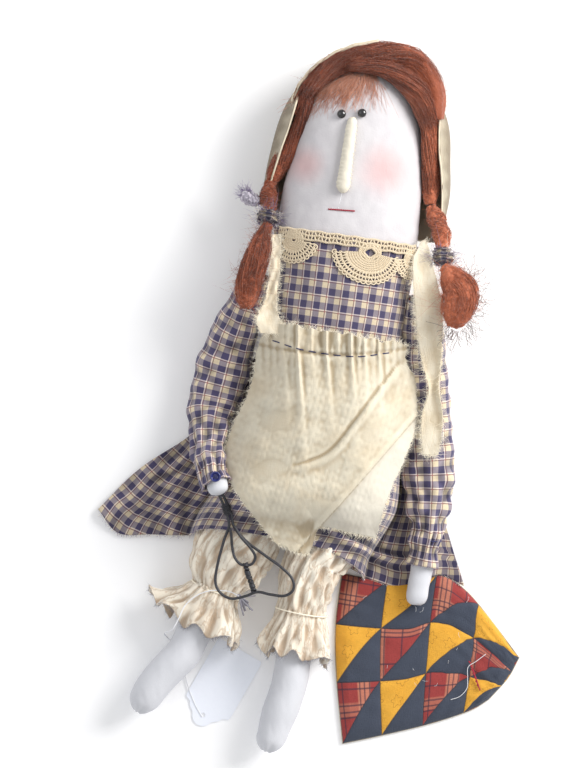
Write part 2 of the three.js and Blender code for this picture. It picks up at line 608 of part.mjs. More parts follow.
// Bonnet ties: torn strips, [share along, x, y, z, width] in shares of the body
const tieShares = {
  right: [
    [0, -0.97, 0.598, 0.83, 0.35], [0.3, -0.92, 0.53, 0.87, 0.4], [0.6, -0.92, 0.455, 0.88, 0.4],
    [0.85, -0.9, 0.415, 0.9, 0.6], [1, -0.84, 0.385, 0.915, 0.35],
  ],
  left: [
    [0, 1.04, 0.626, 0.71, 0.5], [0.1, 1.07, 0.585, 0.8, 0.7], [0.2, 1.17, 0.532, 0.86, 0.9],
    [0.32, 1.26, 0.479, 0.835, 1], [0.48, 1.36, 0.413, 0.735, 1], [0.65, 1.46, 0.326, 0.63, 0.85],
    [0.82, 1.53, 0.242, 0.565, 0.7], [1, 1.57, 0.16, 0.545, 0.6],
  ],
};
const tieWidth = 20;
for (const side of ['right', 'left']) {
  const tieMiddle = (u, v) => {
    const [x, y, z, wide] = curveAt(tieShares[side], v);
    const out = bodyCentreX + x * bodyWidth / 2 + (u - 0.5) * wide * tieWidth;
    return point(out, seatY + y * bodyLength, z * bodyThickness);
  };
  piece(`${side}_bonnet_tie`, sheet(2, 12, apronCloth, tieMiddle), cream);
}

// Gathering threads round the ankles and the left wrist: a hoop outside the cloth at a share of its route
function hoop(rows, share, thickness, sides, floor = 0) {
  const inset = -thickness / 2 - seatingGap;
  const middle = limbRings(rows, [share], sides, floor, inset)[0];
  const centre = new THREE.Vector3();
  for (const place of middle) centre.addScaledVector(place, 1 / sides);
  const outwards = middle.map((place) => place.clone().sub(centre).normalize());
  const along = outwards[0].clone().cross(outwards[Math.round(sides / 4)]).normalize();
  return loft(middle.map((place, index) => ellipse(place, outwards[index], along, thickness, thickness, 6)), true);
}
const gatherThread = 1.2;
const gatherShares = { right: 0.385, left: 0.43 };
for (const side of ['right', 'left']) {
  piece(`${side}_ankle_gather`, hoop(pantaloonRows(side), gatherShares[side], gatherThread, 16, seatFloor), 0xcfc6ab);
}
const wristShare = 0.78;
const leftSleeveRows = armRows('left', sleeveSizeShares.left, sleeveWidth, sleeveThickness);
piece('left_wrist_gather', hoop(leftSleeveRows, wristShare, gatherThread, 14), 0x3d4468);

// Button on the right cuff
const buttonDiameter = 9;
const buttonThickness = 2.4;
const buttonX = -84.5;
const buttonShare = 0.911;
const buttonY = shoulderY - buttonShare * rightArmLength;
const buttonLift = 75.8;
const buttonProfile = [
  [0, 0], [0.42, 0], [0.5, 0.25], [0.5, 0.75], [0.44, 1], [0.36, 0.95], [0.3, 0.7], [0, 0.7],
].map(([out, up]) => new THREE.Vector2(out * buttonDiameter, up * buttonThickness));
const button = new THREE.LatheGeometry(buttonProfile, 10);
button.rotateX(Math.PI / 2);
piece('right_cuff_button', button, 0x2d3352, 0.5).position.set(buttonX, buttonY, buttonLift);

// Rug beater: one wire bent into the outer loop, one into the inner loop, a bound handle and a bound cross tie,
// along routes in shares of its width, its length down from the hand and the height of its loops
const beaterWidth = 77;
const beaterLength = 91;
const beaterTopX = -83;
const beaterTopShare = 0.9634;
const beaterTop = [beaterTopX, shoulderY - beaterTopShare * rightArmLength];
const loopShare = 0.462;
const loopStartY = beaterTop[1] - loopShare * beaterLength;
const beaterHeight = domeAt(loopStartY)[2] + skirtFold + (calico + wireDiameter) / 2;
const beaterRoute = (rows) => rows.map(([across, down, up]) => (
  point(beaterTop[0] + across * beaterWidth, beaterTop[1] - down * beaterLength, up * beaterHeight)
));
const outerWireShares = [
  [0.026, 0.035, 1.052], [0.084, 0.11, 1.052], [0.156, 0.22, 1.046], [0.201, 0.33, 1.022], [0.169, 0.462, 1],
  [0.136, 0.681, 1], [0.136, 0.857, 1], [0.208, 0.956, 1], [0.338, 0.995, 1], [0.481, 0.956, 1],
  [0.61, 0.901, 1], [0.753, 0.907, 1], [0.909, 0.901, 1], [0.994, 0.835, 1], [0.968, 0.736, 1],
  [0.831, 0.643, 1], [0.636, 0.555, 1], [0.416, 0.451, 1], [0.26, 0.335, 1.022], [0.201, 0.209, 1.046],
  [0.123, 0.1, 1.052], [0.068, 0.03, 1.052],
];
piece('beater_outer_wire', strand(beaterRoute(outerWireShares), wireDiameter, 6, 56), 0x3b3d42, 0.45, 0.7);
const innerWireShares = [
  [0.216, 0.352, 1.077], [0.24, 0.418, 1.046], [0.266, 0.516, 1], [0.312, 0.615, 1], [0.396, 0.67, 1],
  [0.5, 0.654, 1], [0.532, 0.582, 1], [0.468, 0.505, 1.035], [0.351, 0.418, 1.075],
  [0.26, 0.324, 1.081],
];
piece('beater_inner_wire', strand(beaterRoute(innerWireShares), wireDiameter, 6, 26), 0x3b3d42, 0.45, 0.7);
const bindingTurns = 8;
const stepsPerTurn = 10;
function binding(start, end, halfWide, halfHigh, turns) {
  const ahead = end.clone().sub(start);
  const across = ahead.clone().cross(upward).normalize();
  const up = across.clone().cross(ahead).normalize();
  return Array.from({ length: turns * stepsPerTurn + 1 }, (_, step) => {
    const angle = 2 * Math.PI * step / stepsPerTurn;
    return start.clone()
      .addScaledVector(ahead, step / (turns * stepsPerTurn))
      .addScaledVector(across, halfWide * Math.cos(angle))
      .addScaledVector(up, halfHigh * Math.sin(angle));
  });
}
const bindingHalfWide = 4.3;
const bindingHalfHigh = 2.6;
const bindingShares = [[0.125, 0.14, 1.052], [0.182, 0.23, 1.05]];
const handleBinding = binding(...beaterRoute(bindingShares), bindingHalfWide, bindingHalfHigh, bindingTurns);
piece('beater_handle_binding', strand(handleBinding, bindingWire, 5, bindingTurns * stepsPerTurn), 0x2e2f33, 0.5, 0.6);
const crossTieDiameter = 3.1;
const crossTieShares = [
  [0.435, 0.697, 1], [0.506, 0.791, 1], [0.565, 0.87, 1],
];
piece('beater_cross_tie', strand(beaterRoute(crossTieShares), crossTieDiameter, 6, 4), 0x2e2f33, 0.5, 0.6);

// Quilt: three layers inside one outline, [share along the edge, x of its width, y of its depth]
const quiltWidth = 160;
const quiltDepth = 144;
const quiltCorner = [33.5, -192.5];
const quiltEdgeShares = {
  top: [[0, 0, 0], [0.2, 0.19, -0.01], [0.38, 0.39, 0], [0.52, 0.52, 0.07], [0.68, 0.67, 0], [0.84, 0.84, -0.17], [1, 1, -0.35]],
  bottom: [[0, 0.13, -1], [0.25, 0.33, -0.92], [0.55, 0.58, -0.81], [0.8, 0.78, -0.7], [1, 0.87, -0.62]],
  left: [[0, 0, 0], [0.35, 0.005, -0.32], [0.65, 0.05, -0.63], [1, 0.13, -1]],
  right: [[0, 1, -0.35], [0.5, 0.955, -0.48], [1, 0.87, -0.62]],
};
const quiltColumns = 4;
const quiltRows = 3;
const quiltPlan = (u, v) => {
  const { top, bottom, left, right } = quiltEdgeShares;
  const [t, b, l, r] = [curveAt(top, u), curveAt(bottom, u), curveAt(left, v), curveAt(right, v)];
  const corners = [top[0], top[top.length - 1], bottom[0], bottom[bottom.length - 1]].map((row) => row.slice(1));
  return [0, 1].map((axis) => {
    const ruled = mix(t[axis], b[axis], v) + mix(l[axis], r[axis], u);
    const flat = mix(mix(corners[0][axis], corners[1][axis], u), mix(corners[2][axis], corners[3][axis], u), v);
    return quiltCorner[axis] + (ruled - flat) * (axis ? quiltDepth : quiltWidth);
  });
};
const quiltPuff = (u, v) => {
  const edge = Math.min(1, 9 * Math.min(u, 1 - u, v, 1 - v));
  const patch = Math.abs(Math.sin(quiltColumns * Math.PI * u) * Math.sin(quiltRows * Math.PI * v)) ** 0.5;
  return edge * (0.55 + 0.45 * patch);
};
const battingFloor = quiltCloth + seatingGap;
const battingTop = (u, v) => battingFloor + 1.5 * quiltCloth + (quiltThickness - 5 * quiltCloth) * quiltPuff(u, v);
const battingInset = 0.012;
const inwards = (share) => Math.min(Math.max(share, battingInset), 1 - battingInset);
piece('quilt_backing', sheet(8, 6, quiltCloth, (u, v) => point(...quiltPlan(u, v), quiltCloth / 2)), cream);
piece('quilt_batting', sheet(12, 9,
  (u, v) => battingTop(inwards(u), inwards(v)) - battingFloor,
  (u, v) => point(...quiltPlan(inwards(u), inwards(v)), (battingTop(inwards(u), inwards(v)) + battingFloor) / 2),
  () => true, true), stuffingWhite);
piece('quilt_top', sheet(12, 9, quiltCloth,
  (u, v) => point(...quiltPlan(u, v), battingTop(u, v) + 2 * seatingGap + quiltCloth / 2),
  () => true, true), 0xb88a3a);

// Hang tag: a bare card with a shaped end and a hole, and its string
const tagCorner = [-63.5, -261.5];
const tagTurn = -0.38;
const tagHoleDiameter = 4;
const tagOutline = [
  [0, 0], [1, 0], [1, 0.76], [0.86, 0.8], [0.76, 0.88], [0.64, 0.97], [0.5, 1], [0.36, 0.97], [0.24, 0.88],
  [0.14, 0.8], [0, 0.76],
].map(([across, down]) => new THREE.Vector2(across * tagWidth, -down * tagLength));
const tagShape = new THREE.Shape(tagOutline);
const tagHoleShare = 0.87;
const tagHoleSides = 8;
tagShape.holes.push(new THREE.Path(Array.from({ length: tagHoleSides }, (_, side) => {
  const angle = 2 * Math.PI * side / tagHoleSides;
  return new THREE.Vector2(
    tagWidth / 2 + tagHoleDiameter / 2 * Math.cos(angle),
    -tagHoleShare * tagLength + tagHoleDiameter / 2 * Math.sin(angle),
  );
})));
const tag = new THREE.ExtrudeGeometry(tagShape, { depth: tagCard, bevelEnabled: false });
const tagMesh = piece('hang_tag', tag, 0xf4f3f1, 0.7);
tagMesh.rotation.z = tagTurn;
tagMesh.position.set(...tagCorner, 0);
const stringRoute = [
  [-68, -331, 1.2], [-75, -322, 1.1], [-82, -310, 1.15], [-88, -297, 0.8], [-95, -283, 0.7], [-102, -272, 1.2],
  [-109, -265.5, 8], [-109.5, -263, 20], [-108, -261.5, 34], [-103, -258, 45.5], [-99, -248, 46.8], [-95, -236, 46.4],
  [-86, -226, 45.6], [-74, -220.5, 44.1], [-60, -219.5, 42.4], [-51, -222.5, 38],
].map((place) => point(...place));
piece('tag_string', strand(stringRoute, stringDiameter, 8, 44), 0xf2f1ea);

// The whole doll is carried to an origin at the middle of its box, on the floor
const box = new THREE.Box3().setFromObject(doll);
doll.position.set(-(box.min.x + box.max.x) / 2, -(box.min.y + box.max.y) / 2, -box.min.z);

export default doll;
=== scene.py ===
"""A primitive rag doll lying on its back, seen from straight above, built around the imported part.

Every soft surface is a function of two shares over tables of places. Places are millimetres in the
doll's own frame (+X its left, +Y to its head, +Z up from the floor, Y counted from the waist) and world()
carries them into the row frame in metres. Threads, frays and hair are round tubes carried along many paths
at once. Left and right are the doll's own.
"""

import math

import bpy
import numpy as np
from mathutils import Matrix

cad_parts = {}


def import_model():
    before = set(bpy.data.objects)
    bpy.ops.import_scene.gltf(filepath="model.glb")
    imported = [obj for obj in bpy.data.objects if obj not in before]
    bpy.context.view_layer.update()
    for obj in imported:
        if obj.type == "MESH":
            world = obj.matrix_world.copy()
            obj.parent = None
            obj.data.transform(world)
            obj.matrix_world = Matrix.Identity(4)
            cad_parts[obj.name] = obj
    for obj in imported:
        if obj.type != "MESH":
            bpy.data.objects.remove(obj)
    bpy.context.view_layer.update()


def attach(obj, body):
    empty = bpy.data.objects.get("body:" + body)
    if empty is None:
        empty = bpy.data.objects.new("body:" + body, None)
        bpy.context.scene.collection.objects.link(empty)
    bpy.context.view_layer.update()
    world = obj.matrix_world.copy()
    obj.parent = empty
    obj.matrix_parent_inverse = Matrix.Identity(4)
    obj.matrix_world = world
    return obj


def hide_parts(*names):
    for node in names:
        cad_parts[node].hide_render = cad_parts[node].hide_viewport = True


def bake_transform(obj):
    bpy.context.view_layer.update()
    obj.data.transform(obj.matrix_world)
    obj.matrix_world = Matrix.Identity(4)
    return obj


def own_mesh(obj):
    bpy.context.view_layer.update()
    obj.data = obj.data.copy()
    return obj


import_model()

SHIFT = np.array([-6.2397, 46.106, 0.0])
MM = 1000
TAU = 2 * math.pi
TILT = math.radians(8)
CHECK_THICK, PANTS_THICK, MUSLIN_THICK, RAG_THICK = 1.2, 1.0, 0.8, 0.7


# Places and smooth functions

def world(points):
    """Doll millimetres to metres in the row frame."""
    return (np.asarray(points, float) + SHIFT) / MM


def mix(a, b, share):
    """a at share 0, b at share 1."""
    return a + (b - a) * share


def step(low, high, value):
    """0 below low, 1 above high, and the cubic 3t^2 - 2t^3 between them."""
    t = np.clip((value - low) / (high - low), 0, 1)
    return t * t * (3 - 2 * t)


def bump(value, centre, width):
    """A bell curve of height 1: e to the minus square of the distance in widths."""
    return np.exp(-(((value - centre) / width) ** 2))


def curve_at(rows, place):
    """Cubic curve through rows of [place, value ...]: each slope comes from the row's two neighbours, and
    between two rows the value is their mix at 3t^2 - 2t^3 with both slopes added by the Hermite terms."""
    rows, place = np.asarray(rows, float), np.asarray(place, float)
    at, values = rows[:, 0], rows[:, 1:]
    i = np.clip(np.searchsorted(at, place, side="left") - 1, 0, len(at) - 2)
    before, after = np.maximum(i - 1, 0), np.minimum(i + 2, len(at) - 1)
    span = at[i + 1] - at[i]
    t = np.clip((place - at[i]) / span, 0, 1)[..., None]
    start = (values[i + 1] - values[before]) * (span / (at[i + 1] - at[before]))[..., None]
    end = (values[after] - values[i]) * (span / (at[after] - at[i]))[..., None]
    bend = 3 * t**2 - 2 * t**3
    return mix(values[i], values[i + 1], bend) + (t**3 - 2 * t**2 + t) * start + (t**3 - t**2) * end


def ripple(u, v, seed, low, high, count=8):
    """A smooth random field of about unit size: a sum of sine waves with seeded directions and
    frequencies, divided by the root of their number."""
    r = np.random.default_rng(seed)
    turn, often, phase = r.uniform(0, TAU, count), r.uniform(low, high, count), r.uniform(0, TAU, count)
    u, v = np.broadcast_arrays(np.asarray(u, float), np.asarray(v, float))
    run = u[..., None] * np.cos(turn) + v[..., None] * np.sin(turn)
    return np.sin(TAU * often * run + phase).sum(-1) / math.sqrt(count)


def folds(theta, along, seed, counts, drift=0.8):
    """Folds that run along a tube: sine waves that go round it a whole number of times, each phase
    wandering with along."""
    r = np.random.default_rng(seed)
    total = 0
    for count in counts:
        wander = drift * np.sin(r.uniform(3, 8) * along + r.uniform(0, TAU))
        total = total + np.sin(count * theta + r.uniform(0, TAU) + wander)
    return total / math.sqrt(len(counts))


def pleats(theta, along, seed, counts, drift=0.8):
    """Sharp ridges between broad hollows that run along a tube, each 1 - 2 |sin| to a power below one."""
    r = np.random.default_rng(seed)
    total = 0
    for count in counts:
        wander = drift * np.sin(r.uniform(3, 8) * along + r.uniform(0, TAU))
        total = total + 1 - 2 * np.abs(np.sin(count * theta / 2 + r.uniform(0, TAU) + wander)) ** 0.75
    return total / math.sqrt(len(counts))


def unit(vectors):
    """Vectors of length one."""
    return vectors / np.maximum(np.linalg.norm(vectors, axis=-1, keepdims=True), 1e-9)


def distance_to(points, x, y):
    """Signed distance in plan from a smooth line through points, positive on its right, and the share
    along it, both taken at the nearest of the line's steps."""
    steps = 70
    line = route(points, steps)
    ahead = unit(np.gradient(line, axis=0))
    gap = np.stack([x[..., None] - line[:, 0], y[..., None] - line[:, 1]], -1)
    nearest = (gap**2).sum(-1).argmin(-1)
    off = np.take_along_axis(gap, nearest[..., None, None].repeat(2, -1), -2)[..., 0, :]
    side = off[..., 0] * ahead[nearest, 1] - off[..., 1] * ahead[nearest, 0]
    return np.sign(side) * np.linalg.norm(off, axis=-1), nearest / (steps - 1)


# Meshes

def build(name, points, faces, corner_uv=None, tone=None, material=None):
    """A smooth mesh from points, a list of face arrays and, per corner, a UV."""
    mesh = bpy.data.meshes.new(name)
    points = world(points)
    mesh.vertices.add(len(points))
    mesh.vertices.foreach_set("co", points.ravel())
    loops = np.concatenate([f.ravel() for f in faces])
    totals = np.concatenate([np.full(len(f), f.shape[1]) for f in faces])
    mesh.loops.add(len(loops))
    mesh.loops.foreach_set("vertex_index", loops.astype(np.int32))
    mesh.polygons.add(len(totals))
    mesh.polygons.foreach_set("loop_start", np.concatenate([[0], np.cumsum(totals)[:-1]]).astype(np.int32))
    mesh.update(calc_edges=True)
    if corner_uv is not None:
        layer = mesh.uv_layers.new(name="UVMap")
        layer.data.foreach_set("uv", np.asarray(corner_uv, np.float32).ravel())
    if tone is not None:
        layer = mesh.attributes.new("tone", "FLOAT", "POINT")
        layer.data.foreach_set("value", np.asarray(tone, np.float32).ravel())
    mesh.polygons.foreach_set("use_smooth", np.ones(len(totals), bool))
    obj = bpy.data.objects.new(name, mesh)
    bpy.context.scene.collection.objects.link(obj)
    if material is not None:
        mesh.materials.append(material)
    return obj


def arc_uv(P, around):
    """UVs in millimetres of cloth: across is the mean girth or the length along each row, down is the
    mean length of the columns."""
    n, m = P.shape[:2]
    down = np.concatenate([[0], np.cumsum(np.linalg.norm(np.diff(P, axis=0), axis=-1).mean(1))])
    if around:
        girth = np.linalg.norm(np.roll(P, -1, 1) - P, axis=-1).mean(0)
        across = np.broadcast_to(np.concatenate([[0], np.cumsum(girth)]), (n, m + 1))
        return np.stack([across, np.broadcast_to(down[:, None], (n, m + 1))], -1)
    run = np.linalg.norm(np.diff(P, axis=1), axis=-1)
    across = np.concatenate([np.zeros((n, 1)), np.cumsum(run, 1)], 1)
    return np.stack([across - across[:, m // 2, None], np.broadcast_to(down[:, None], (n, m))], -1)


def hollows(P, around, reach=5, deep=0.9):
    """How far each point stands out of, or lies below, the mean of its neighbours, in shares of deep."""
    def mean(A, wrap):
        """Each row's mean with its neighbours, past the ends by wrapping or by repeating the end rows."""
        ends = (A[-reach:], A[:reach]) if wrap else (A[:1].repeat(reach, 0), A[-1:].repeat(reach, 0))
        run = np.cumsum(np.concatenate([0 * A[:1], ends[0], A, ends[1]]), 0)
        return (run[2 * reach + 1:] - run[:-2 * reach - 1]) / (2 * reach + 1)
    level = mean(mean(P, False).swapaxes(0, 1), around).swapaxes(0, 1)
    ahead = np.roll(P, -1, 1) - np.roll(P, 1, 1) if around else np.gradient(P, axis=1)
    normal = unit(np.cross(ahead, np.gradient(P, axis=0)))
    outward = P - P.mean(1, keepdims=True) if around else np.array([0, 0, 1.0])
    side = np.sign((normal * outward).sum())
    return np.clip(side * ((P - level) * normal).sum(-1) / deep, -1, 0.4)


def surface(name, P, material, uv=None, around=False, ends=False, thick=0.0, tone=None):
    """Quads over a grid P[row, column]: around joins the last column to the first, ends closes a tube with
    fans, thick gives a cloth its thickness below the surface. Faces look up, or outwards on a tube."""
    n, m = P.shape[:2]
    rows, cols = np.meshgrid(np.arange(n - 1), np.arange(m if around else m - 1), indexing="ij")
    after = (cols + 1) % m
    quads = np.stack([rows * m + cols, rows * m + after, (rows + 1) * m + after, (rows + 1) * m + cols], -1)
    uv = arc_uv(P, around) if uv is None else uv
    # A cloth's hollows go into its tone, which the muslin and check materials paint as shade in the hollows
    # and light on the ridges.
    tone = hollows(P, around) if thick and tone is None and n > 12 else tone
    spots = np.stack([uv[rows, cols], uv[rows, cols + 1], uv[rows + 1, cols + 1], uv[rows + 1, cols]], -2)
    quads, spots = quads.reshape(-1, 4), spots.reshape(-1, 4, 2)
    points = P.reshape(-1, 3)
    a, b, c = points[quads[:, 0]], points[quads[:, 1]], points[quads[:, 2]]
    facing = np.cross(b - a, c - a)
    outward = a - points.mean(0) if around else np.array([0, 0, 1.0])
    turned = (facing * outward).sum() < 0
    if turned:
        quads, spots = quads[:, ::-1], spots[:, ::-1]
    faces, corners = [quads], [spots.reshape(-1, 2)]
    if ends:
        points = np.concatenate([points, P[:1].mean(1), P[-1:].mean(1)])
        ring = np.arange(m)
        for pole, first, flip in ((n * m, 0, not turned), (n * m + 1, (n - 1) * m, turned)):
            fan = np.stack([np.full(m, pole), first + ring, first + (ring + 1) % m], -1)
            faces.append(fan[:, ::-1] if flip else fan)
            corners.append(np.zeros((3 * m, 2)))
        tone = None if tone is None else np.concatenate([np.ravel(tone), [0.5, 0.5]])
    obj = build(name, points, faces, np.concatenate(corners), tone, material)
    if thick:
        shell = obj.modifiers.new("thickness", "SOLIDIFY")
        shell.thickness, shell.offset = thick / MM, -1
    return obj


def tubes(name, paths, radius, material, sides=5, tone=None):
    """Round threads along paths[thread, step]: rings of the radius across each path, narrowed to a point at
    both ends. Threads of three sides are the finest ones, and only taper to their tips."""
    paths = np.asarray(paths, float)
    paths = paths[None] if paths.ndim == 2 else paths
    n, k = paths.shape[:2]
    ahead = unit(np.gradient(paths, axis=1))
    spread = np.einsum("nki,nkj->nij", ahead, ahead)
    least = np.linalg.eigh(spread)[1][:, None, :, 0]
    side = unit(np.cross(ahead, least))
    over = np.cross(ahead, side)
    radius = np.broadcast_to(radius, (n, k))
    finest = sides == 3
    grow = lambda a: a if finest else np.concatenate([a[:, :1], a, a[:, -1:]], 1)
    wide = grow(radius).copy()
    wide[:, [0, -1]] *= 0.4 if finest else 0.05
    turn = TAU * np.arange(sides) / sides
    ring = grow(side)[:, :, None] * np.cos(turn)[:, None] + grow(over)[:, :, None] * np.sin(turn)[:, None]
    points = grow(paths)[:, :, None] + wide[..., None, None] * ring
    k = wide.shape[1]
    i, j, s = np.meshgrid(np.arange(n), np.arange(k - 1), np.arange(sides), indexing="ij")
    at = lambda jj, ss: (i * k + jj) * sides + ss % sides
    quads = np.stack([at(j, s), at(j + 1, s), at(j + 1, s + 1), at(j, s + 1)], -1).reshape(-1, 4)
    shade = None if tone is None else np.broadcast_to(np.asarray(tone, float)[:, None, None], (n, k, sides))
    return build(name, points.reshape(-1, 3), [quads], None, shade, material)


def route(points, steps):
    """A smooth line of that many steps through points."""
    return curve_at([[i, *p] for i, p in enumerate(points)], np.linspace(0, len(points) - 1, steps))


def closed(line):
    """A line that comes back to its first point."""
    return np.concatenate([line, line[:1]])


LOOSE_STEPS = 5


def fray(name, edge, out, count, length, material, seed, radius=0.1, spread=0.5, lift=0.25):
    """Loose threads along an edge line: each leaves along out for its own length and bends off with the
    square of the share along it."""
    r = np.random.default_rng(seed)
    place = r.uniform(0, len(edge) - 1.001, count)
    low, share = place.astype(int), (place % 1)[:, None]
    start, away = mix(edge[low], edge[low + 1], share), mix(out[low], out[low + 1], share)
    heading = unit(away + r.normal(0, spread, (count, 3)) * [1, 1, lift])
    curl = r.normal(0, spread * 0.9, (count, 3)) * [1, 1, lift]
    run = (length * r.uniform(0.25, 1, count) ** 1.5)[:, None, None]
    s = np.linspace(0, 1, LOOSE_STEPS)[None, :, None]
    paths = start[:, None] + run * (heading[:, None] * s + curl[:, None] * s**2)
    paths[..., 2] = np.maximum(paths[..., 2], radius + 0.05)
    return tubes(name, paths, radius * np.linspace(1, 0.5, LOOSE_STEPS), material, 3, r.uniform(0, 1, count))


def frame_of(rows, shares):
    """Centres, directions across and up, and sizes at the shares of a route of
    [share, x, y, z, width, height]."""
    values = curve_at(rows, shares)
    first, last = rows[0][0], rows[-1][0]
    slip = (last - first) / 60
    ahead = unit(curve_at(rows, np.minimum(shares + slip, last))[:, :3]
                 - curve_at(rows, np.maximum(shares - slip, first))[:, :3])
    across = unit(np.cross(ahead, [0, 0, 1.0]))
    return values[:, :3], across, np.cross(across, ahead), values[:, 3:5]


def limb(rows, along=80, around=56, floor=0.0, shares=None):
    """A tube of elliptical rings along a route, flattened where it would sink below the floor."""
    shares = np.linspace(rows[0][0], rows[-1][0], along) if shares is None else shares
    centre, across, up, size = frame_of(rows, shares)
    theta = TAU * np.arange(around) / around
    P = (centre[:, None] + across[:, None] * (size[:, None, :1] / 2 * np.cos(theta)[:, None])
         + up[:, None] * (size[:, None, 1:] / 2 * np.sin(theta)[:, None]))
    P[..., 2] = np.maximum(P[..., 2], floor)
    return P, *np.meshgrid(shares, theta, indexing="ij")


def swell(P, amount, floor=0.0):
    """A tube's points moved outwards along its normals."""
    normal = unit(np.cross(np.roll(P, -1, 1) - np.roll(P, 1, 1), np.gradient(P, axis=0)))
    side = np.sign((normal * (P - P.mean(1, keepdims=True))).sum())
    Q = P + side * normal * np.asarray(amount)[..., None]
    Q[..., 2] = np.maximum(Q[..., 2], floor)
    return Q


# How pieces move

HIP = ("torso", "right_leg", world((0, -112, 45)), world((0, -180, 45)))
RIGHT_TIE = ("torso", "right_arm", world((-60, 80, 60)), world((-60, 20, 60)))
LEFT_TIE = ("torso", "left_arm", world((70, 80, 60)), world((70, 20, 60)))
RIGHT_TAIL = ("right_pigtail", "right_shoulder", (-72, 92, 60))
LEFT_TAIL = ("left_pigtail", "left_shoulder", (80, 80, 62))


def carry(obj, move, nodes=()):
    """Ties a piece to its body when move names one; for two bodies it only bakes the piece's placement into
    its mesh, and for a body and a joint it ties the piece to that body alone and gives it a mesh of its own.
    Then it hides the imported nodes the piece stands for."""
    if isinstance(move, str):
        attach(obj, move)
    elif len(move) == len(HIP):
        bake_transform(obj)
    else:
        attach(obj, move[0])
        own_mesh(obj)
    if nodes:
        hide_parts(*nodes)
    return obj


# Materials

def srgb(r, g, b):
    """A colour from display values 0 to 255 to linear light."""
    return tuple(((c / 255 + 0.055) / 1.055) ** 2.4 if c > 10 else c / 3294 for c in (r, g, b)) + (1.0,)


class Value:
    """A shader socket to calculate with: every operation adds one node."""

    def __init__(self, shade, socket):
        self.shade, self.socket = shade, socket

    def math(self, kind, *others):
        """One Math node on this value and the others."""
        return self.shade.node("ShaderNodeMath", dict(enumerate((self, *others))), operation=kind)

    __add__ = __radd__ = lambda a, b: a.math("ADD", b)
    __mul__ = __rmul__ = lambda a, b: a.math("MULTIPLY", b)
    __sub__ = lambda a, b: a.math("SUBTRACT", b)
    __rsub__ = lambda a, b: (a * -1) + b
    __truediv__ = lambda a, b: a.math("DIVIDE", b)

    def step(self, low, high):
        """0 at low to 1 at high, smoothly."""
        values = {"Value": self, "From Min": low, "From Max": high}
        return self.shade.node("ShaderNodeMapRange", values, interpolation_type="SMOOTHSTEP")

    def between(self, low, high, soft):
        """1 between low and high, with soft edges."""
        return self.step(low - soft, low + soft) * (1 - self.step(high - soft, high + soft))


class Shade:
    """One material round a Principled surface."""

    def __init__(self, name, roughness=0.9, **fixed):
        self.material = bpy.data.materials.new(name)
        self.material.use_nodes = True
        self.tree = self.material.node_tree
        self.surface = self.tree.nodes["Principled BSDF"]
        self.surface.inputs["Roughness"].default_value = roughness
        for socket, value in fixed.items():
            self.surface.inputs[socket.replace("_", " ")].default_value = value

    def feed(self, socket, value):
        """Links a value to a socket, or sets a plain number or colour on it."""
        if isinstance(value, Value):
            self.tree.links.new(value.socket, socket)
        else:
            socket.default_value = value

    def node(self, kind, inputs, out=0, **settings):
        """Adds a node, sets it up, feeds its inputs and gives one output."""
        node = self.tree.nodes.new(kind)
        for name, value in settings.items():
            setattr(node, name, value)
        for key, value in inputs.items():
            self.feed(node.inputs[key], value)
        return Value(self, node.outputs[out])

    def split(self, vector):
        """The three parts of a vector."""
        return [self.node("ShaderNodeSeparateXYZ", {0: vector}, out=axis) for axis in range(3)]

    def uv(self):
        """UV in millimetres of cloth."""
        return self.node("ShaderNodeTexCoord", {}, out="UV")

    def place(self):
        """The point in metres, in the row frame."""
        return self.node("ShaderNodeTexCoord", {}, out="Object")

    def tone(self):
        """The mesh's own attribute: hollows of a cloth, which its material paints as shade and light, or the
        tone of a strand.
        """
        return self.node("ShaderNodeAttribute", {}, out="Fac", attribute_name="tone")

    def stretch(self, vector, x, y, z=1.0):
        """A vector times three scales."""
        return self.node("ShaderNodeMapping", {"Vector": vector, "Scale": (x, y, z)})

    def noise(self, vector, scale, detail=3.0, roughness=0.55):
        """Smooth noise from 0 to 1."""
        values = {"Vector": vector, "Scale": scale, "Detail": detail, "Roughness": roughness}
        return self.node("ShaderNodeTexNoise", values)

    def slubs(self, uv, along, over, scale=1.0):
        """Uneven thread: noise drawn out along one thread direction plus noise drawn out along the other."""
        return (self.noise(self.stretch(uv, along, over), scale, 2.0)
                + self.noise(self.stretch(uv, over, along), scale, 2.0))

    def blend(self, a, b, share):
        """Colour a at share 0, colour b at share 1."""
        return self.node("ShaderNodeMix", {0: share, 6: a, 7: b}, out=2, data_type="RGBA")

    def times(self, colour, value):
        """A colour made darker or lighter by a value."""
        grey = self.node("ShaderNodeCombineXYZ", {0: value, 1: value, 2: value})
        return self.node("ShaderNodeMix", {0: 1.0, 6: colour, 7: grey}, out=2, data_type="RGBA",
                         blend_type="MULTIPLY")

    def end(self, colour=None, height=None, depth=0.0003, **sockets):
        """Feeds the surface; height in shares of depth becomes a bump."""
        if colour is not None:
            self.feed(self.surface.inputs["Base Color"], colour)
        if height is not None:
            normal = self.node("ShaderNodeBump", {"Strength": 1.0, "Distance": depth, "Height": height})
            self.feed(self.surface.inputs["Normal"], normal)
        for socket, value in sockets.items():
            self.feed(self.surface.inputs[socket.replace("_", " ")], value)
        return self.material


def weave(shade, uv, pitch=1.15):
    """Height of a plain weave: the product of a sine along each thread direction, and fine noise."""
    u, v, _ = shade.split(uv)
    a, b = (u * (TAU / pitch)).math("SINE"), (v * (TAU / pitch)).math("SINE")
    return (a * b) * 0.25 + shade.noise(uv, 0.9, 2.0) * 0.7


FOLD_FOOT = (6.9, -155.3)


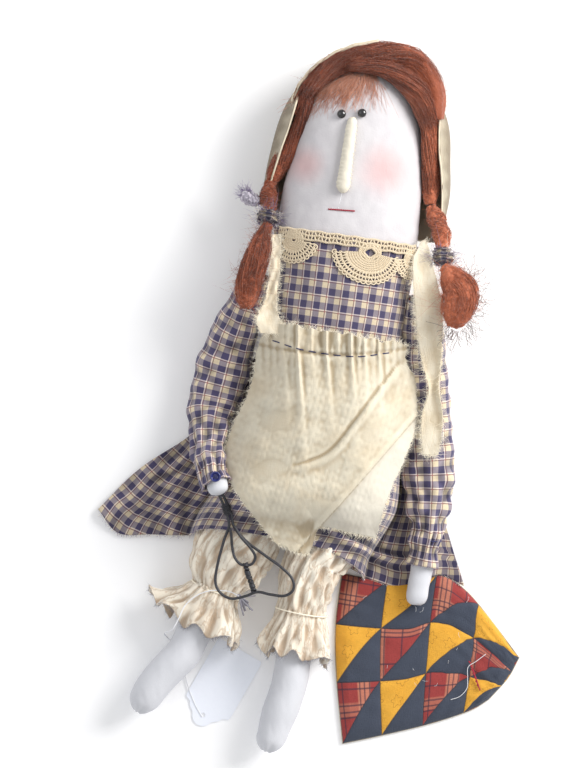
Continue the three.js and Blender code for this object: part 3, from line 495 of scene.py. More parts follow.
def muslin(name, colour, deep, stain=0.35, paler=None, crinkle=0.3, **fixed):
    """Tea-stained muslin: soft stains, slubs along both thread directions, painted shade in its hollows and
    painted light on its ridges, thin crinkle lines where a noise crosses its middle, painted in as shade and
    dented into the bump, and a plain weave. paler is the apron's lower layer, beyond the slanting fold
    through FOLD_FOOT."""
    shade = Shade(name, 0.95, Sheen_Weight=0.25, Sheen_Roughness=0.6, **fixed)
    uv = shade.uv()
    cloud = shade.noise(uv, 0.03, 3.0).step(0.35, 0.75)
    slub = shade.slubs(uv, 0.12, 1.6)
    base = shade.blend(colour, deep, cloud * stain)
    # Painted shade and light from the tone attribute: hollows turn towards the deep colour and darker, ridges
    # a little lighter.
    painted_fold_shade = shade.tone()
    base = shade.blend(base, deep, (painted_fold_shade * -0.9).math("MAXIMUM", 0.0).math("MINIMUM", 0.7))
    base = shade.times(base, (slub * 0.13 + 0.87) * (painted_fold_shade * 0.26 + 1))
    # Crinkle lines: painted shade along thin wrinkles, mixed towards the deep colour, with a dent in the bump
    # as well.
    fine = shade.noise(shade.stretch(uv, 0.15, 0.05), 1.0, 4.0, 0.62)
    line = (1 - (fine - 0.5).math("ABSOLUTE").step(0.0, 0.05)) * crinkle
    base = shade.blend(base, deep, line * 0.6)
    if paler:
        x, y, _ = shade.split(shade.place())
        aside = (x * MM - float(SHIFT[0]) - FOLD_FOOT[0]) * 0.833
        beyond = aside + (y * MM - float(SHIFT[1]) - FOLD_FOOT[1]) * -0.553
        base = shade.blend(base, paler, beyond.step(0.4, 1.6) * (x * MM).step(2, 6) * 0.7)
    return shade.end(base, weave(shade, uv) + slub * 0.5 - line * 1.6, 0.00028)


def painted():
    """Muslin painted matte white and faintly blotched, with two soft pink cheeks that fade with the distance
    from their middles."""
    shade = Shade("painted_muslin", 0.82, Sheen_Weight=0.1)
    point = shade.place()
    x, y, _ = shade.split(point)
    blotch = shade.noise(point, 60.0, 3.0)
    colour = shade.blend(srgb(207, 204, 206), srgb(192, 188, 192), blotch.step(0.3, 0.75) * 0.5)
    for cx, cy, wide, strength in ((21.5, 151.0, 23.0, 0.42), (-47.0, 147.0, 17.0, 0.4)):
        far = lambda at, c: (at * MM - c) / wide
        dx, dy = far(x, cx + float(SHIFT[0])), far(y, cy + float(SHIFT[1]))
        round_it = (dx * dx + dy * dy).math("SQRT") + (blotch - 0.5) * 0.35
        colour = shade.blend(colour, srgb(216, 142, 136), (1 - round_it.step(0.1, 1.35)) * strength)
    grain = shade.noise(point, 900.0, 2.0) * 0.5 + shade.noise(point, 160.0, 3.0)
    return shade.end(colour, grain, 0.0003)


def plaid(name, darkening=0.0):
    """Brushed woven check: both thread directions carry a purple-blue band, a pale line, a cream band and a
    dark red line; where bands cross, the cloth shows the mean of the two. Its hollows get painted shade and
    its ridges painted light. darkening darkens all of it and lightens it below zero; on the bodice and the
    sleeves it is painted shade and painted light."""
    shade = Shade(name, 0.95, Sheen_Weight=0.3, Sheen_Roughness=0.5)
    uv = shade.uv()
    u, v, _ = shade.split(uv)
    wobble = (shade.noise(uv, 0.09, 2.0) - 0.5) * 0.05
    sides = []
    for along, first, period in ((u, 0.0, 11.7), (v, 0.35, 12.6)):
        turn = (along * (1 / period) + wobble + (first + 40)).math("FRACT")
        pale_line = turn.between(0.49, 0.545, 0.012)
        sides.append((turn.between(0.0, 0.47, 0.02), pale_line, turn.between(0.56, 0.63, 0.014)))
    (blue_u, pale_u, red_u), (blue_v, pale_v, red_v) = sides
    pale = 1 - (blue_u + blue_v) * 0.5
    base = shade.blend(srgb(63, 58, 88), srgb(128, 119, 126), pale.step(0.0, 0.5))
    base = shade.blend(base, srgb(196, 181, 154), pale.step(0.5, 1.0))
    base = shade.blend(base, srgb(214, 200, 198), (pale_u + pale_v).math("MINIMUM", 1.0) * 0.55)
    base = shade.blend(base, srgb(86, 44, 58), (red_u + red_v).math("MINIMUM", 1.0) * 0.72)
    base = shade.blend(base, srgb(168, 66, 74), red_u * red_v * 0.8)
    fine = shade.slubs(uv, 1.0, 2.6, 0.9)
    # Painted shade and light: the cloth's hollows darker and its ridges lighter, from the tone attribute.
    base = shade.times(base, (fine * 0.42 + (0.60 - darkening)) * (shade.tone() * 0.5 + 1))
    return shade.end(base, weave(shade, uv, 1.0), 0.00026)


def patchwork():
    """Half-square triangles over UV squares of one: gold print and rust plaid by turns above the diagonal,
    navy below it, with a dark seam line along every join. The print is a row of small star outlines, each
    the place where the distance from its middle meets a radius that swings five times round."""
    shade = Shade("patchwork", 0.93, Sheen_Weight=0.15)
    uv = shade.uv()
    warp = (shade.noise(uv, 1.7, 2.0) - 0.5) * 0.10
    u, v, _ = shade.split(uv)
    u, v = u + warp * (u - 1.6).math("MAXIMUM", 0.0), v + warp * (u - 1.4).math("MAXIMUM", 0.0)
    cell_u, cell_v = u.math("FLOOR"), v.math("FLOOR")
    fu, fv = u.math("FRACT"), v.math("FRACT")
    odd = ((cell_u + cell_v) * 0.5).math("FRACT").step(0.2, 0.3)
    upper = 1 - (fu + fv).step(0.985, 1.015)
    su, sv = u * 2.3 + v * 0.55, v * 2.5 - u * 0.35
    phase = (su.math("FLOOR") * 12.9 + sv.math("FLOOR") * 78.2).math("SINE")
    pu, pv = su.math("FRACT") - 0.5 + phase * 0.09, sv.math("FRACT") - 0.5 - phase * 0.07
    spoke = (pv.math("ARCTAN2", pu) * 5 + phase * 9).math("COSINE")
    far = (pu * pu + pv * pv).math("SQRT") - (spoke * 0.07 + 0.24) + (shade.noise(uv, 22.0, 2.0) - 0.5) * 0.05
    gold = shade.blend(srgb(216, 154, 44), srgb(228, 172, 62), shade.noise(uv, 3.0, 2.0))
    star = far.math("ABSOLUTE").between(-1.0, 0.014, 0.008) * phase.step(-0.55, -0.45)
    gold = shade.blend(gold, srgb(140, 88, 24), star * 0.75)
    rust = srgb(150, 56, 54)
    ru, rv = (fu + cell_v * 0.31).math("FRACT"), (fv + cell_u * 0.43 + 0.2).math("FRACT")
    salmon = srgb(196, 130, 104)
    rust = shade.blend(rust, salmon, ru.between(0.1, 0.40, 0.02) * 0.7)
    rust = shade.blend(rust, salmon, rv.between(0.55, 0.78, 0.02) * 0.45)
    for along, lines in ((ru, (0.14, 0.25, 0.37, 0.72)), (rv, (0.3, 0.58, 0.69, 0.78))):
        for line in lines:
            rust = shade.blend(rust, srgb(58, 40, 58), along.between(line, line + 0.03, 0.01) * 0.75)
    light = shade.blend(rust, gold, odd)
    base = shade.blend(srgb(60, 67, 82), light, upper)
    along_u = fu.math("PINGPONG", 0.5).between(-1.0, 0.008, 0.01)
    along_v = fv.math("PINGPONG", 0.5).between(-1.0, 0.008, 0.01)
    slanting = (fu + fv - 1).math("ABSOLUTE").between(-1.0, 0.008, 0.012)
    seam = along_u.math("MAXIMUM", along_v).math("MAXIMUM", slanting)
    base = shade.blend(base, srgb(38, 36, 44), seam * 0.7)
    slub = shade.slubs(uv, 9.0, 70.0)
    base = shade.times(base, slub * 0.28 + 0.74)
    return shade.end(base, slub * 0.8 + shade.noise(uv, 60.0, 2.0) * 0.6 - seam * 0.9, 0.0005)


def wool(name, dark, mid, lit, dense=True):
    """Matte roving: the tone of each strand and soft patches run it from dark red-brown to orange-red, paler
    on the doll's left and below the crown. dense gives the fuzzy grain of a packed lock."""
    shade = Shade(name, 0.85, Sheen_Weight=0.35, Sheen_Roughness=0.4)
    tone = shade.tone()
    patch = shade.noise(shade.place(), 45.0, 2.0)
    x, y, _ = shade.split(shade.place())
    paler = (x * MM).step(-110, 110) * 0.32 + (1 - (y * MM).step(110, 210)) * 0.14
    value = tone * 0.55 + patch * 0.8 + shade.noise(shade.place(), 14.0, 1.0) * 0.5 - 0.48 + paler
    base = shade.blend(dark, mid, value.step(0.15, 0.6))
    base = shade.blend(base, lit, value.step(0.55, 1.05))
    if not dense:
        return shade.end(base)
    return shade.end(base, shade.noise(shade.place(), 420.0, 4.0), 0.0016)


def plain(name, colour, roughness=0.9, grain=900.0, depth=0.0001, vary=0.18, **fixed):
    """One colour made lighter and darker by a fine grain, which is its bump too."""
    shade = Shade(name, roughness, **fixed)
    noise = shade.noise(shade.place(), grain, 3.0)
    return shade.end(shade.times(colour, noise * vary + (1 - vary / 2)), noise, depth)


PAINTED = painted()
LIMB = plain("painted_limb", srgb(208, 209, 214), 0.8, 700, 0.00016, 0.06)
PLAID = plaid("check_cloth")
# The bodice's copy of the check cloth is darker: painted shade.
BODICE_CHECK = plaid("bodice_check_cloth", 0.13)
# The sleeves' copy of the check cloth is lighter: painted light on sleeves that lie in shade.
SLEEVE_CHECK = plaid("sleeve_check_cloth", -0.12)
NAVY_CHECK = plaid("dark_check_cloth", 0.34)
APRON = muslin("apron_muslin", srgb(208, 200, 180), srgb(194, 172, 136), 0.4, srgb(217, 212, 199), 0.14)
PANTALOON = muslin("pantaloon_muslin", srgb(234, 226, 210), srgb(206, 176, 144), 0.35, crinkle=0.9)
BONNET = muslin("bonnet_muslin", srgb(170, 159, 138), srgb(138, 122, 98), 0.6)
TIE = muslin("torn_strip", srgb(224, 215, 195), srgb(212, 188, 148), 0.45)
KNOT_CLOTH = muslin("knot_cloth", srgb(196, 190, 200), srgb(150, 142, 162), 0.5)
PATCHWORK = patchwork()
LACE = plain("crochet_cotton", srgb(221, 205, 178), 0.85, 1500, 0.0002, 0.3)
WOOL = wool("auburn_wool", srgb(84, 38, 22), srgb(142, 72, 45), srgb(202, 118, 84))
WISP = wool("light_wool", srgb(150, 84, 58), srgb(200, 134, 106), srgb(226, 176, 152), False)
DARK_WISP = plain("dark_wool", srgb(84, 58, 52), 0.85)
WIRE = plain("dark_wire", srgb(66, 66, 70), 0.42, 500, 0.0001, 0.5, Metallic=0.55)
NOSE_CLOTH = plain("nose_cloth", srgb(222, 215, 198), 0.85, 600, 0.0002, 0.1)
BEAD = plain("black_bead", srgb(14, 12, 14), 0.07, 200, 0.0, 0.1, Coat_Weight=1.0)
BUTTON = plain("blue_button", srgb(38, 44, 106), 0.18, 300, 0.00004, 0.5, Coat_Weight=0.6)
FLOSS = plain("red_floss", srgb(158, 34, 52), 0.7)
NAVY_THREAD = plain("navy_thread", srgb(48, 50, 88), 0.8)
WHITE_THREAD = plain("white_thread", srgb(232, 233, 236), 0.7)
GREY_THREAD = plain("grey_thread", srgb(150, 148, 158), 0.8)
PURPLE_THREAD = plain("purple_thread", srgb(140, 128, 158), 0.85)
# The cream thread glows a little: painted light that keeps the thin loose threads bright.
CREAM_THREAD = plain("cream_thread", srgb(240, 232, 212), 0.85, Emission_Color=(1, 0.95, 0.85, 1),
                     Emission_Strength=0.16)
# The card glows a little: painted light that keeps the tag bright in the leg's shadow.
CARD = plain("white_card", srgb(226, 229, 238), 0.75, 260, 0.00005, 0.05, Emission_Color=(0.9, 0.95, 1, 1),
             Emission_Strength=0.14)


# Camera, light, floor

FAR, SEEN_HIGH, SENSOR = 4.0, 0.6528, 24
camera = bpy.data.objects.new("camera", bpy.data.cameras.new("camera"))
bpy.context.scene.collection.objects.link(camera)
camera.location = (-0.0412, 0.0077, FAR + 0.03)
camera.rotation_euler = (0, 0, TILT)
camera.data.sensor_fit = "VERTICAL"
camera.data.sensor_height = SENSOR
camera.data.sensor_width = SENSOR
camera.data.lens = SENSOR * FAR / SEEN_HIGH
bpy.context.scene.camera = camera


def area_light(name, place, target, size, power, colour):
    """A square soft light that looks at a point."""
    light = bpy.data.objects.new(name, bpy.data.lights.new(name, "AREA"))
    light.data.shape, light.data.size, light.data.energy, light.data.color = "SQUARE", size, power, colour
    bpy.context.scene.collection.objects.link(light)
    light.location = place
    from_to = np.array(target, float) - np.array(place, float)
    light.rotation_euler = (math.acos(-from_to[2] / np.linalg.norm(from_to)), 0,
                            math.atan2(from_to[1], from_to[0]) - math.pi / 2)
    return light


area_light("key_light", (1.35, 1.05, 1.05), (0, 0, 0.03), 1.15, 49.0, (1.0, 0.985, 0.965))
area_light("fill_light", (-1.2, 0.3, 1.6), (0, 0, 0.03), 1.6, 5.0, (0.92, 0.95, 1.0))

surroundings = bpy.data.worlds.new("studio")
bpy.context.scene.world = surroundings
surroundings.use_nodes = True
sky = surroundings.node_tree.nodes["Background"]
sky.inputs["Color"].default_value = (0.985, 0.99, 1.0, 1.0)
sky.inputs["Strength"].default_value = 0.66
bpy.context.scene.view_settings.view_transform = "Standard"

floor_shade = Shade("floor", 0.95, Emission_Color=(1, 1, 1, 1), Emission_Strength=0.06)
floor_shade.end(srgb(252, 252, 253))
FLOOR_REACH, FLOOR_LOW = 3000, 0.6
corners = np.array([[[-1.0, -1.0], [1.0, -1.0]], [[-1.0, 1.0], [1.0, 1.0]]]) * FLOOR_REACH
floor = surface("floor", np.concatenate([corners, np.full((2, 2, 1), -FLOOR_LOW)], -1), floor_shade.material)


# Tag string: the one free cord

STRING = np.array([[-68, -331, 1.2], [-75, -322, 1.1], [-82, -310, 1.15], [-88, -297, 0.8],
                   [-95, -283, 0.7], [-102, -272, 1.2], [-109, -265.5, 8], [-109.5, -263, 20],
                   [-108, -261.5, 34], [-103, -258, 45.5], [-99, -248, 46.8], [-95, -236, 46.4],
                   [-86, -226, 45.6], [-74, -220.5, 44.1], [-60, -219.5, 42.4], [-51, -222.5, 38]])


# Head and torso

BODY = [[0, 0.74, 0.76], [0.04, 0.83, 0.93], [0.14, 0.84, 0.97], [0.37, 0.85, 0.98], [0.48, 0.93, 1],
        [0.61, 0.985, 1], [0.72, 0.95, 1], [0.81, 0.89, 0.96], [0.885, 0.81, 0.88], [0.93, 0.69, 0.77],
        [0.96, 0.54, 0.61], [0.985, 0.33, 0.38], [1, 0.08, 0.1]]
SEAT, LENGTH, MIDDLE_X, MIDDLE_Z, HALF, DEEP = -142.0, 380.0, -3.0, 36.5, 61.0, 36.5
THICK = 2 * DEEP


def section(y):
    """Half width and half thickness of the body at y."""
    wide, thick = np.moveaxis(curve_at(BODY, (np.asarray(y, float) - SEAT) / LENGTH), -1, 0)
    return wide * HALF, thick * DEEP


def front(x, y, out=0.0):
    """Height of the body's front at a place, moved out by a distance."""
    a, b = section(y)
    return MIDDLE_Z + (b + out) * np.sqrt(np.maximum(0, 1 - ((x - MIDDLE_X) / (a + out)) ** 2))


def body_tube(y, around, out):
    """Rings of the body at the heights y, moved out by a distance."""
    out = np.broadcast_to(out, y.shape)
    theta = TAU * np.arange(around) / around
    a, b = section(y)
    P = np.stack([MIDDLE_X + (a + out)[:, None] * np.cos(theta),
                  np.broadcast_to(y[:, None], (len(y), around)),
                  MIDDLE_Z + (b + out)[:, None] * np.sin(theta)], -1)
    return P, *np.meshgrid((y - SEAT) / LENGTH, theta, indexing="ij")


def skin():
    """Head and torso: rings of the body with shallow lumps, and dents where the face threads pull."""
    y = SEAT + LENGTH * np.concatenate([np.linspace(0, 0.9, 150),
                                        1 - 0.1 * np.cos(np.linspace(0, math.pi / 2, 40))[1:]])
    P, _, theta = body_tube(y, 160, 0.0)
    x, y2 = P[..., 0], P[..., 1]
    lump = 0.5 * ripple(x / 60, y2 / 60, 3, 0.6, 1.6) + 0.12 * ripple(x / 12, y2 / 12, 4, 0.5, 1.4)
    top = np.sin(theta) > 0
    eyes = 1.1 * np.exp(-((x + 17) ** 2 + (y2 - 194) ** 2) / 30)
    beside_nose = 0.9 * bump(x, -18.4, 1.5) * step(126, 140, y2) * (1 - step(184, 192, y2))
    right_pull = 0.7 * bump(x, -15.5, 0.8) * bump(y2, 118, 9)
    left_pull = 0.6 * bump(x, -12, 0.8) * bump(y2, 120, 8)
    mouth = 0.5 * bump(y2, 112.6, 1.2) * step(-26, -20, x) * (1 - step(-2, 4, x))
    dent = eyes + beside_nose + right_pull + left_pull + mouth
    return swell(P, lump - dent * top, 3.0)


body = surface("head_and_torso", skin(), PAINTED, around=True, ends=True)
carry(body, "torso", ("head_and_torso_skin", "torso_stuffing"))

EYE_RADIUS, EYE_HIGH, EYE_OUT = 3.8, 2.8, 2.0


def bead_eye(side, x, y):
    """A flattened ball on the face: rings of its radius by the sine of the turn from its top."""
    turn = np.linspace(0.02, math.pi - 0.02, 24)[:, None]
    go = (TAU * np.arange(32) / 32)[None]
    P = np.stack([x + EYE_RADIUS * np.sin(turn) * np.cos(go), y + EYE_RADIUS * np.sin(turn) * np.sin(go),
                  front(x, y) + EYE_OUT + EYE_HIGH * np.cos(turn) + 0 * go], -1)
    eye = surface(f"{side}_eye", P, BEAD, around=True, ends=True)
    carry(eye, "torso", (f"{side}_eye_bead",))


bead_eye("right", -22.0, 193.0)
bead_eye("left", -5.0, 196.0)

NOSE_X, NOSE_TOP, NOSE_LONG = -12.2, 191.0, 63.0
NOSE_WIDE, NOSE_HIGH, NOSE_OUT, WHIP_STITCHES = 11.4, 9.6, 3.6, 17
NOSE_SHARES = ((0, .45, .3), (.05, .72, .66), (.3, .84, .86), (.7, .94, .95), (.92, 1, 1), (.98, .75, .7),
               (1, .3, .3))


def nose_roll():
    """The stuffed nose along the middle of the face, and the whip stitches over its seam."""
    nose_rows = []
    for share, w, h in NOSE_SHARES:
        y = NOSE_TOP - share * NOSE_LONG
        up = float(front(NOSE_X, y)) + NOSE_OUT * h
        nose_rows.append([share, NOSE_X, y, up, NOSE_WIDE * w, NOSE_HIGH * h])
    P, s, theta = limb(nose_rows, 120, 48)
    pulled = np.sin(s * WHIP_STITCHES * TAU + 2 * np.sin(s * 9)) * bump(np.cos(theta), 1, 0.45)
    stitches = 0.22 * pulled + 0.22 * folds(theta, s * 6, 5, (2, 3))
    nose = carry(surface("nose_roll", swell(P, stitches), NOSE_CLOTH, around=True, ends=True), "torso",
                 ("nose",))
    line = curve_at(nose_rows, np.linspace(0.1, 0.96, WHIP_STITCHES))
    loops = np.linspace(-0.35, 1.0, 9)
    whip = np.stack([line[:, 0, None] + line[:, 3, None] / 2 * np.cos(loops * 1.3) + 0.9 * (1 - loops) ** 2,
                     line[:, 1, None] + 2.2 * (loops - 0.3),
                     line[:, 2, None] + line[:, 4, None] / 2 * np.sin(loops * 1.2)], -1)
    carry(tubes("nose_whip_stitches", whip, 0.2, NOSE_CLOTH, 5), "torso")


nose_roll()


def mouth_stitch():
    """Two plies that wind round each other across the mouth, and three threads that pull the cloth in below
    the nose."""
    t = np.linspace(0, 1, 60)
    x = -21.8 + 22.2 * t
    y = 112.0 + 1.4 * t
    z = front(x, y) - 0.15
    spin = t * TAU * 7
    ply = np.stack([np.stack([x, y + sign * 0.26 * np.cos(spin), z + 0.25 + sign * 0.26 * np.sin(spin)], -1)
                    for sign in (1, -1)])
    carry(tubes("mouth", ply, 0.42, FLOSS, 6), "torso", ("mouth_stitch",))
    pulls = []
    for x0, y0, x1, y1 in ((-16.2, 129, -19.5, 104), (-12.4, 128, -13.6, 113.6), (-14.2, 129, -16.8, 113)):
        x, y = mix(x0, x1, t), mix(y0, y1, t)
        pulls.append(np.stack([x, y, front(x, y) - 0.25 - 0.4 * t], -1))
    carry(tubes("face_thread_pulls", np.stack(pulls), 0.28, WHITE_THREAD, 5), "torso")


mouth_stitch()


# Bodice, skirt, apron

def bodice_cloth():
    """The bodice: rings of the body a little further out, with crumples that gather at the waist."""
    y = np.linspace(92, -8, 90)
    P, s, theta = body_tube(y, 160, 1.7 + 3.4 * bump(y, 6, 32))
    crumple = 0.45 * ripple(P[..., 0] / 40, P[..., 1] / 40, 11, 0.7, 1.8)
    crumple = crumple + 0.5 * bump(P[..., 1], -4, 14) * folds(theta, s * 9, 12, (19, 26, 33))
    P = swell(P, np.clip(crumple, -0.5, 2.0), 0.2)
    bodice = surface("bodice_cloth", P, BODICE_CHECK, around=True, thick=CHECK_THICK)
    carry(bodice, "torso", ("bodice",))


bodice_cloth()

WAIST, SKIRT = -8.0, 187.0
DOME_HALF, DOME_HIGH, RIGHT_WING, LEFT_WING, WING_HIGH = 74, 77, 181, 138, 2.4
DOME = [[0, 0, 0.775, 1], [0.12, 0.034, 0.804, 1.01], [0.3, 0.057, 0.875, 1.005],
        [0.52, 0.014, 0.986, 0.985], [0.66, -0.034, 1.047, 0.96], [0.73, -0.1, 1.06, 0.865],
        [0.8, -0.18, 1.065, 0.7], [0.9, -0.267, 1.045, 0.67], [1, -0.285, 1.037, 0.665]]
HEM = [[0, 0.85], [0.06, 0.945], [0.15, 0.93], [0.25, 0.91], [0.35, 0.865], [0.5, 0.86], [0.65, 0.94],
       [0.75, 1.0], [0.86, 1.0], [0.93, 0.93], [1, 0.965]]
RIGHT_EDGE = [[0, 0.345], [0.3, 0.45], [0.55, 0.63], [0.75, 0.83], [1, 1]]
LEFT_EDGE = [[0, 0.42], [0.3, 0.56], [0.55, 0.72], [0.75, 0.85], [1, 1]]


def dome(y):
    """Centre, half width and height of the dome that the skirt makes over the body and thighs."""
    centre, half, high = np.moveaxis(curve_at(DOME, (WAIST - y) / SKIRT), -1, 0)
    return MIDDLE_X + centre * DOME_HALF, half * DOME_HALF, high * DOME_HIGH


def skirt_fold(x, y):
    """Folds that fan out from the waist: a sine of the angle from a point above it, deeper to the hem and on
    the wings. A tuck near the hem and a deep fold on the right follow lines of their own."""
    down = np.clip((WAIST - y) / SKIRT, 0, 1)
    fan = np.arctan2(x + 3, 150 + (WAIST - y))
    wave = 0.5 + 0.5 * np.sin(62 * fan + 1.5 * ripple(x / 90, y / 90, 21, 0.6, 1.4))
    wing = step(74, 105, np.abs(x + 3))
    near, share = distance_to([(16, -148), (40, -160), (62, -168), (84, -170)], x, y)
    tuck = bump(share, 0.5, 0.4) * step(-118, -136, y) * (6.0 * bump(near, 5, 3.2) - 2.6 * bump(near, 0, 2.4))
    near, share = distance_to([(-84, -92), (-100, -110), (-118, -126), (-140, -136)], x, y)
    ridges = 3.6 * bump(near, -6, 4) + 3.2 * bump(near, 7, 4)
    deep = bump(share, 0.45, 0.45) * (ridges - 1.6 * bump(near, 0, 3))
    wings = wing * down * (2.6 * wave + 1.2 + ripple(x / 50, y / 50, 22, 0.6, 1.5))
    small = 0.5 * down * ripple(x / 28, y / 28, 23, 0.5, 1.4)
    return (0.2 + 1.6 * down) * wave + wings + np.maximum(tuck, -1.5) + np.maximum(deep, -1.0) + small


def skirt_height(x, y, fold):
    """Height of the skirt: the dome's section is the cube root of one less the cube of the share across."""
    centre, half, high = dome(y)
    reach = np.minimum(np.abs(x - centre) / half, 1)
    return WING_HIGH + (high - WING_HIGH) * (1 - reach**3) ** (1 / 3) + fold


def skirt_grid(across, down):
    """The front of the skirt: the dome between two flat wings, u across and v from the waist to the hem."""
    u, v = np.meshgrid(np.linspace(0, 1, across), np.linspace(0, 1, down))
    hem = WAIST - curve_at(HEM, u)[..., 0] * SKIRT
    y = mix(WAIST - 0.4, hem, v)
    centre, half, high = dome(y)
    turn = math.pi * np.clip((u - 0.25) / 0.5, 0, 1)
    x = centre + half * np.abs(np.cos(turn)) ** (2 / 3) * np.sign(-np.cos(turn))
    out_right = mix(-curve_at(RIGHT_EDGE, v)[..., 0] * RIGHT_WING, centre - half, u / 0.25)
    out_left = mix(centre + half, curve_at(LEFT_EDGE, v)[..., 0] * LEFT_WING, (u - 0.75) / 0.25)
    x = np.where(u < 0.25, out_right, np.where(u > 0.75, out_left, x))
    rise = np.where((u > 0.25) & (u < 0.75), np.sin(turn) ** (2 / 3), 0)
    z = WING_HIGH + (high - WING_HIGH) * rise + skirt_fold(x, y)
    return np.stack([x, y, np.maximum(z, 2.3)], -1)


ACROSS, DOWN = 280, 120


def skirt_front_cloth():
    """The skirt's front with UVs that follow the run of the cloth, and the threads of its hem."""
    P = skirt_grid(ACROSS, DOWN)
    run = np.concatenate([np.zeros((DOWN, 1)), np.cumsum(np.linalg.norm(np.diff(P, axis=1), axis=-1), 1)], 1)
    run = run - run[:, ACROSS // 2, None]
    each = np.linalg.norm(np.diff(P, axis=0), axis=-1)
    down = np.concatenate([np.zeros((1, ACROSS)), np.cumsum(each, 0)], 0)
    uv = np.stack([mix(run, run[-1:], 0.55), mix(down, down.mean(1, keepdims=True), 0.3)], -1)
    skirt = surface("skirt_front_cloth", P, PLAID, uv=uv, thick=CHECK_THICK)
    carry(skirt, HIP, ("skirt_front",))
    hem_line = P[-1]
    outward = unit(P[-1] - P[-6]) * [1, 1, 0.4]
    threads = [carry(fray("skirt_hem_threads", hem_line, outward, 520, 4.0, PURPLE_THREAD, 31, 0.1), HIP)]
    threads.append(carry(fray("skirt_hem_pale_threads", hem_line, outward, 420, 3.4, CREAM_THREAD, 32, 0.1),
                         HIP))


skirt_front_cloth()


def skirt_back_cloth():
    """The skirt's back: the same outline, drawn in by 2 and laid flat."""
    u, v = np.meshgrid(np.linspace(0, 1, 90), np.linspace(0, 1, 50))
    right = -curve_at(RIGHT_EDGE, v)[..., 0] * RIGHT_WING + 2
    left = curve_at(LEFT_EDGE, v)[..., 0] * LEFT_WING - 2
    hem = WAIST - curve_at(HEM, u)[..., 0] * SKIRT + 2
    P = np.stack([mix(right, left, u), mix(WAIST - 0.4, hem, v), 1.3 + 0 * u], -1)
    back = surface("skirt_back_cloth", P, PLAID, thick=CHECK_THICK)
    carry(back, "torso", ("skirt_back",))


skirt_back_cloth()

APRON_TOP, APRON_LONG = 12.0, 190.0
APRON_RIGHT = [[0, -56.6], [0.095, -64], [0.3, -66], [0.495, -76.5], [0.647, -79.7], [0.773, -67.7],
              [0.97, -32], [1, -26]]
APRON_LEFT = [[0, 60.5], [0.08, 61], [0.166, 71], [0.3, 76], [0.379, 77.5], [0.55, 72], [0.726, 63.5],
               [0.889, 58.5], [1, 57]]
APRON_FOOT = [[0, 0.975], [0.18, 0.995], [0.31, 1], [0.355, 0.985], [0.40, 0.885], [0.7, 0.88], [1, 0.89]]
TUCKS = ((-44, 1.6, 30), (-32, 3.2, 60), (-20, 1.4, 20), (-7.7, 3.6, 26), (3, 1.2, 18), (13, 3.4, 24),
         (24, 2.2, 18), (36.2, 4.0, 26), (50, 1.8, 18))


def apron_height(x, y):
    """Height of the apron over the skirt and bodice: its gathers fade below the stitching, a curved crease
    runs from the left of the waist down to the right, and beyond a slanting folded edge the lower left part
    lies one layer lower."""
    centre, half, _ = dome(y)
    reach = (x - centre) / (0.87 * half)
    inside = centre + 0.87 * half * reach / (1 + np.abs(reach) ** 9) ** (1 / 9)
    z = skirt_height(inside, y, 1.5) + 3.2 - 0.88 * np.abs(x - inside)
    right, up = x * math.cos(TILT) + y * math.sin(TILT), y * math.cos(TILT) - x * math.sin(TILT)
    below = np.maximum(0, -6.5 - up)
    gather = sum(high * (bump(right - 0.07 * below, place, 1.3 + 0.05 * below)
                         - 0.35 * bump(right - 0.07 * below, place + 3.4, 1.8)) * np.exp(-below / fade)
                 for place, high, fade in TUCKS)
    gather = gather + 0.55 * (1 + np.sin(right * 1.05 + 1.2 * np.sin(right / 7))) * np.exp(-below / 13)
    gather = gather + 0.8 * np.sin(right / 7.5 + 0.8 * np.sin(up / 30)) * np.exp(-below / 55)
    seam = -1.5 * bump(up, -8.5 + 0.0019 * (right - 5) ** 2, 1.7)
    heading = step(-5, 4, up) * (0.9 * np.sin(right * 0.62 + 0.8) + 0.8 * np.sin(right * 0.27 + 2) + 1.2)
    q, _ = distance_to([FOLD_FOOT, (40, -106), (74.5, -53.9)], x, y)
    layer = 2.7 * (1 - step(-1.0, 0.4, q)) * step(-30, -60, y) + 1.0 * bump(q, -2.6, 2.2) * step(-30, -60, y)
    c, along = distance_to([(57.8, -2.2), (38, -36), (24, -61), (5, -91), (-26, -108.4)], x, y)
    kept = step(0, 0.12, along) * (1 - step(0.85, 1, along))
    crease = kept * (-1.9 * bump(c, 0, 1.6) + 2.4 * bump(c, -4.2, 3.0))
    soft = (1.0 * ripple(x / 60, y / 50, 41, 0.7, 1.7) + 0.3 * ripple(x / 16, y / 22, 42, 0.6, 1.4)
            + 0.14 * ripple(x / 5, y / 7, 47, 0.6, 1.4))
    return z + 0.9 + gather + seam + heading + layer + crease + np.maximum(soft, -0.8)


def apron_grid(across, down):
    """The apron's grid between its two side edges, from its top down to its torn foot."""
    u, v = np.meshgrid(np.linspace(0, 1, across), np.linspace(0, 1, down))
    tear = 0.6 * ripple(u * 30, 0 * u, 43, 0.5, 1.5)
    y = APRON_TOP - v * mix(1, curve_at(APRON_FOOT, u)[..., 0], v) * APRON_LONG + tear * v**12
    y = y + (1 - v) ** 12 * (1.4 * ripple(u * 9, 0 * u, 44, 0.5, 1.5) - 4.0 * u)
    side_tear = 0.5 * ripple(v * 34, 0 * u, 46, 0.5, 1.5)
    right, left = curve_at(APRON_RIGHT, v)[..., 0], curve_at(APRON_LEFT, v)[..., 0]
    x = mix(right, left, u) + side_tear * (2 * u - 1) ** 5
    return np.stack([x, y, apron_height(x, y)], -1)


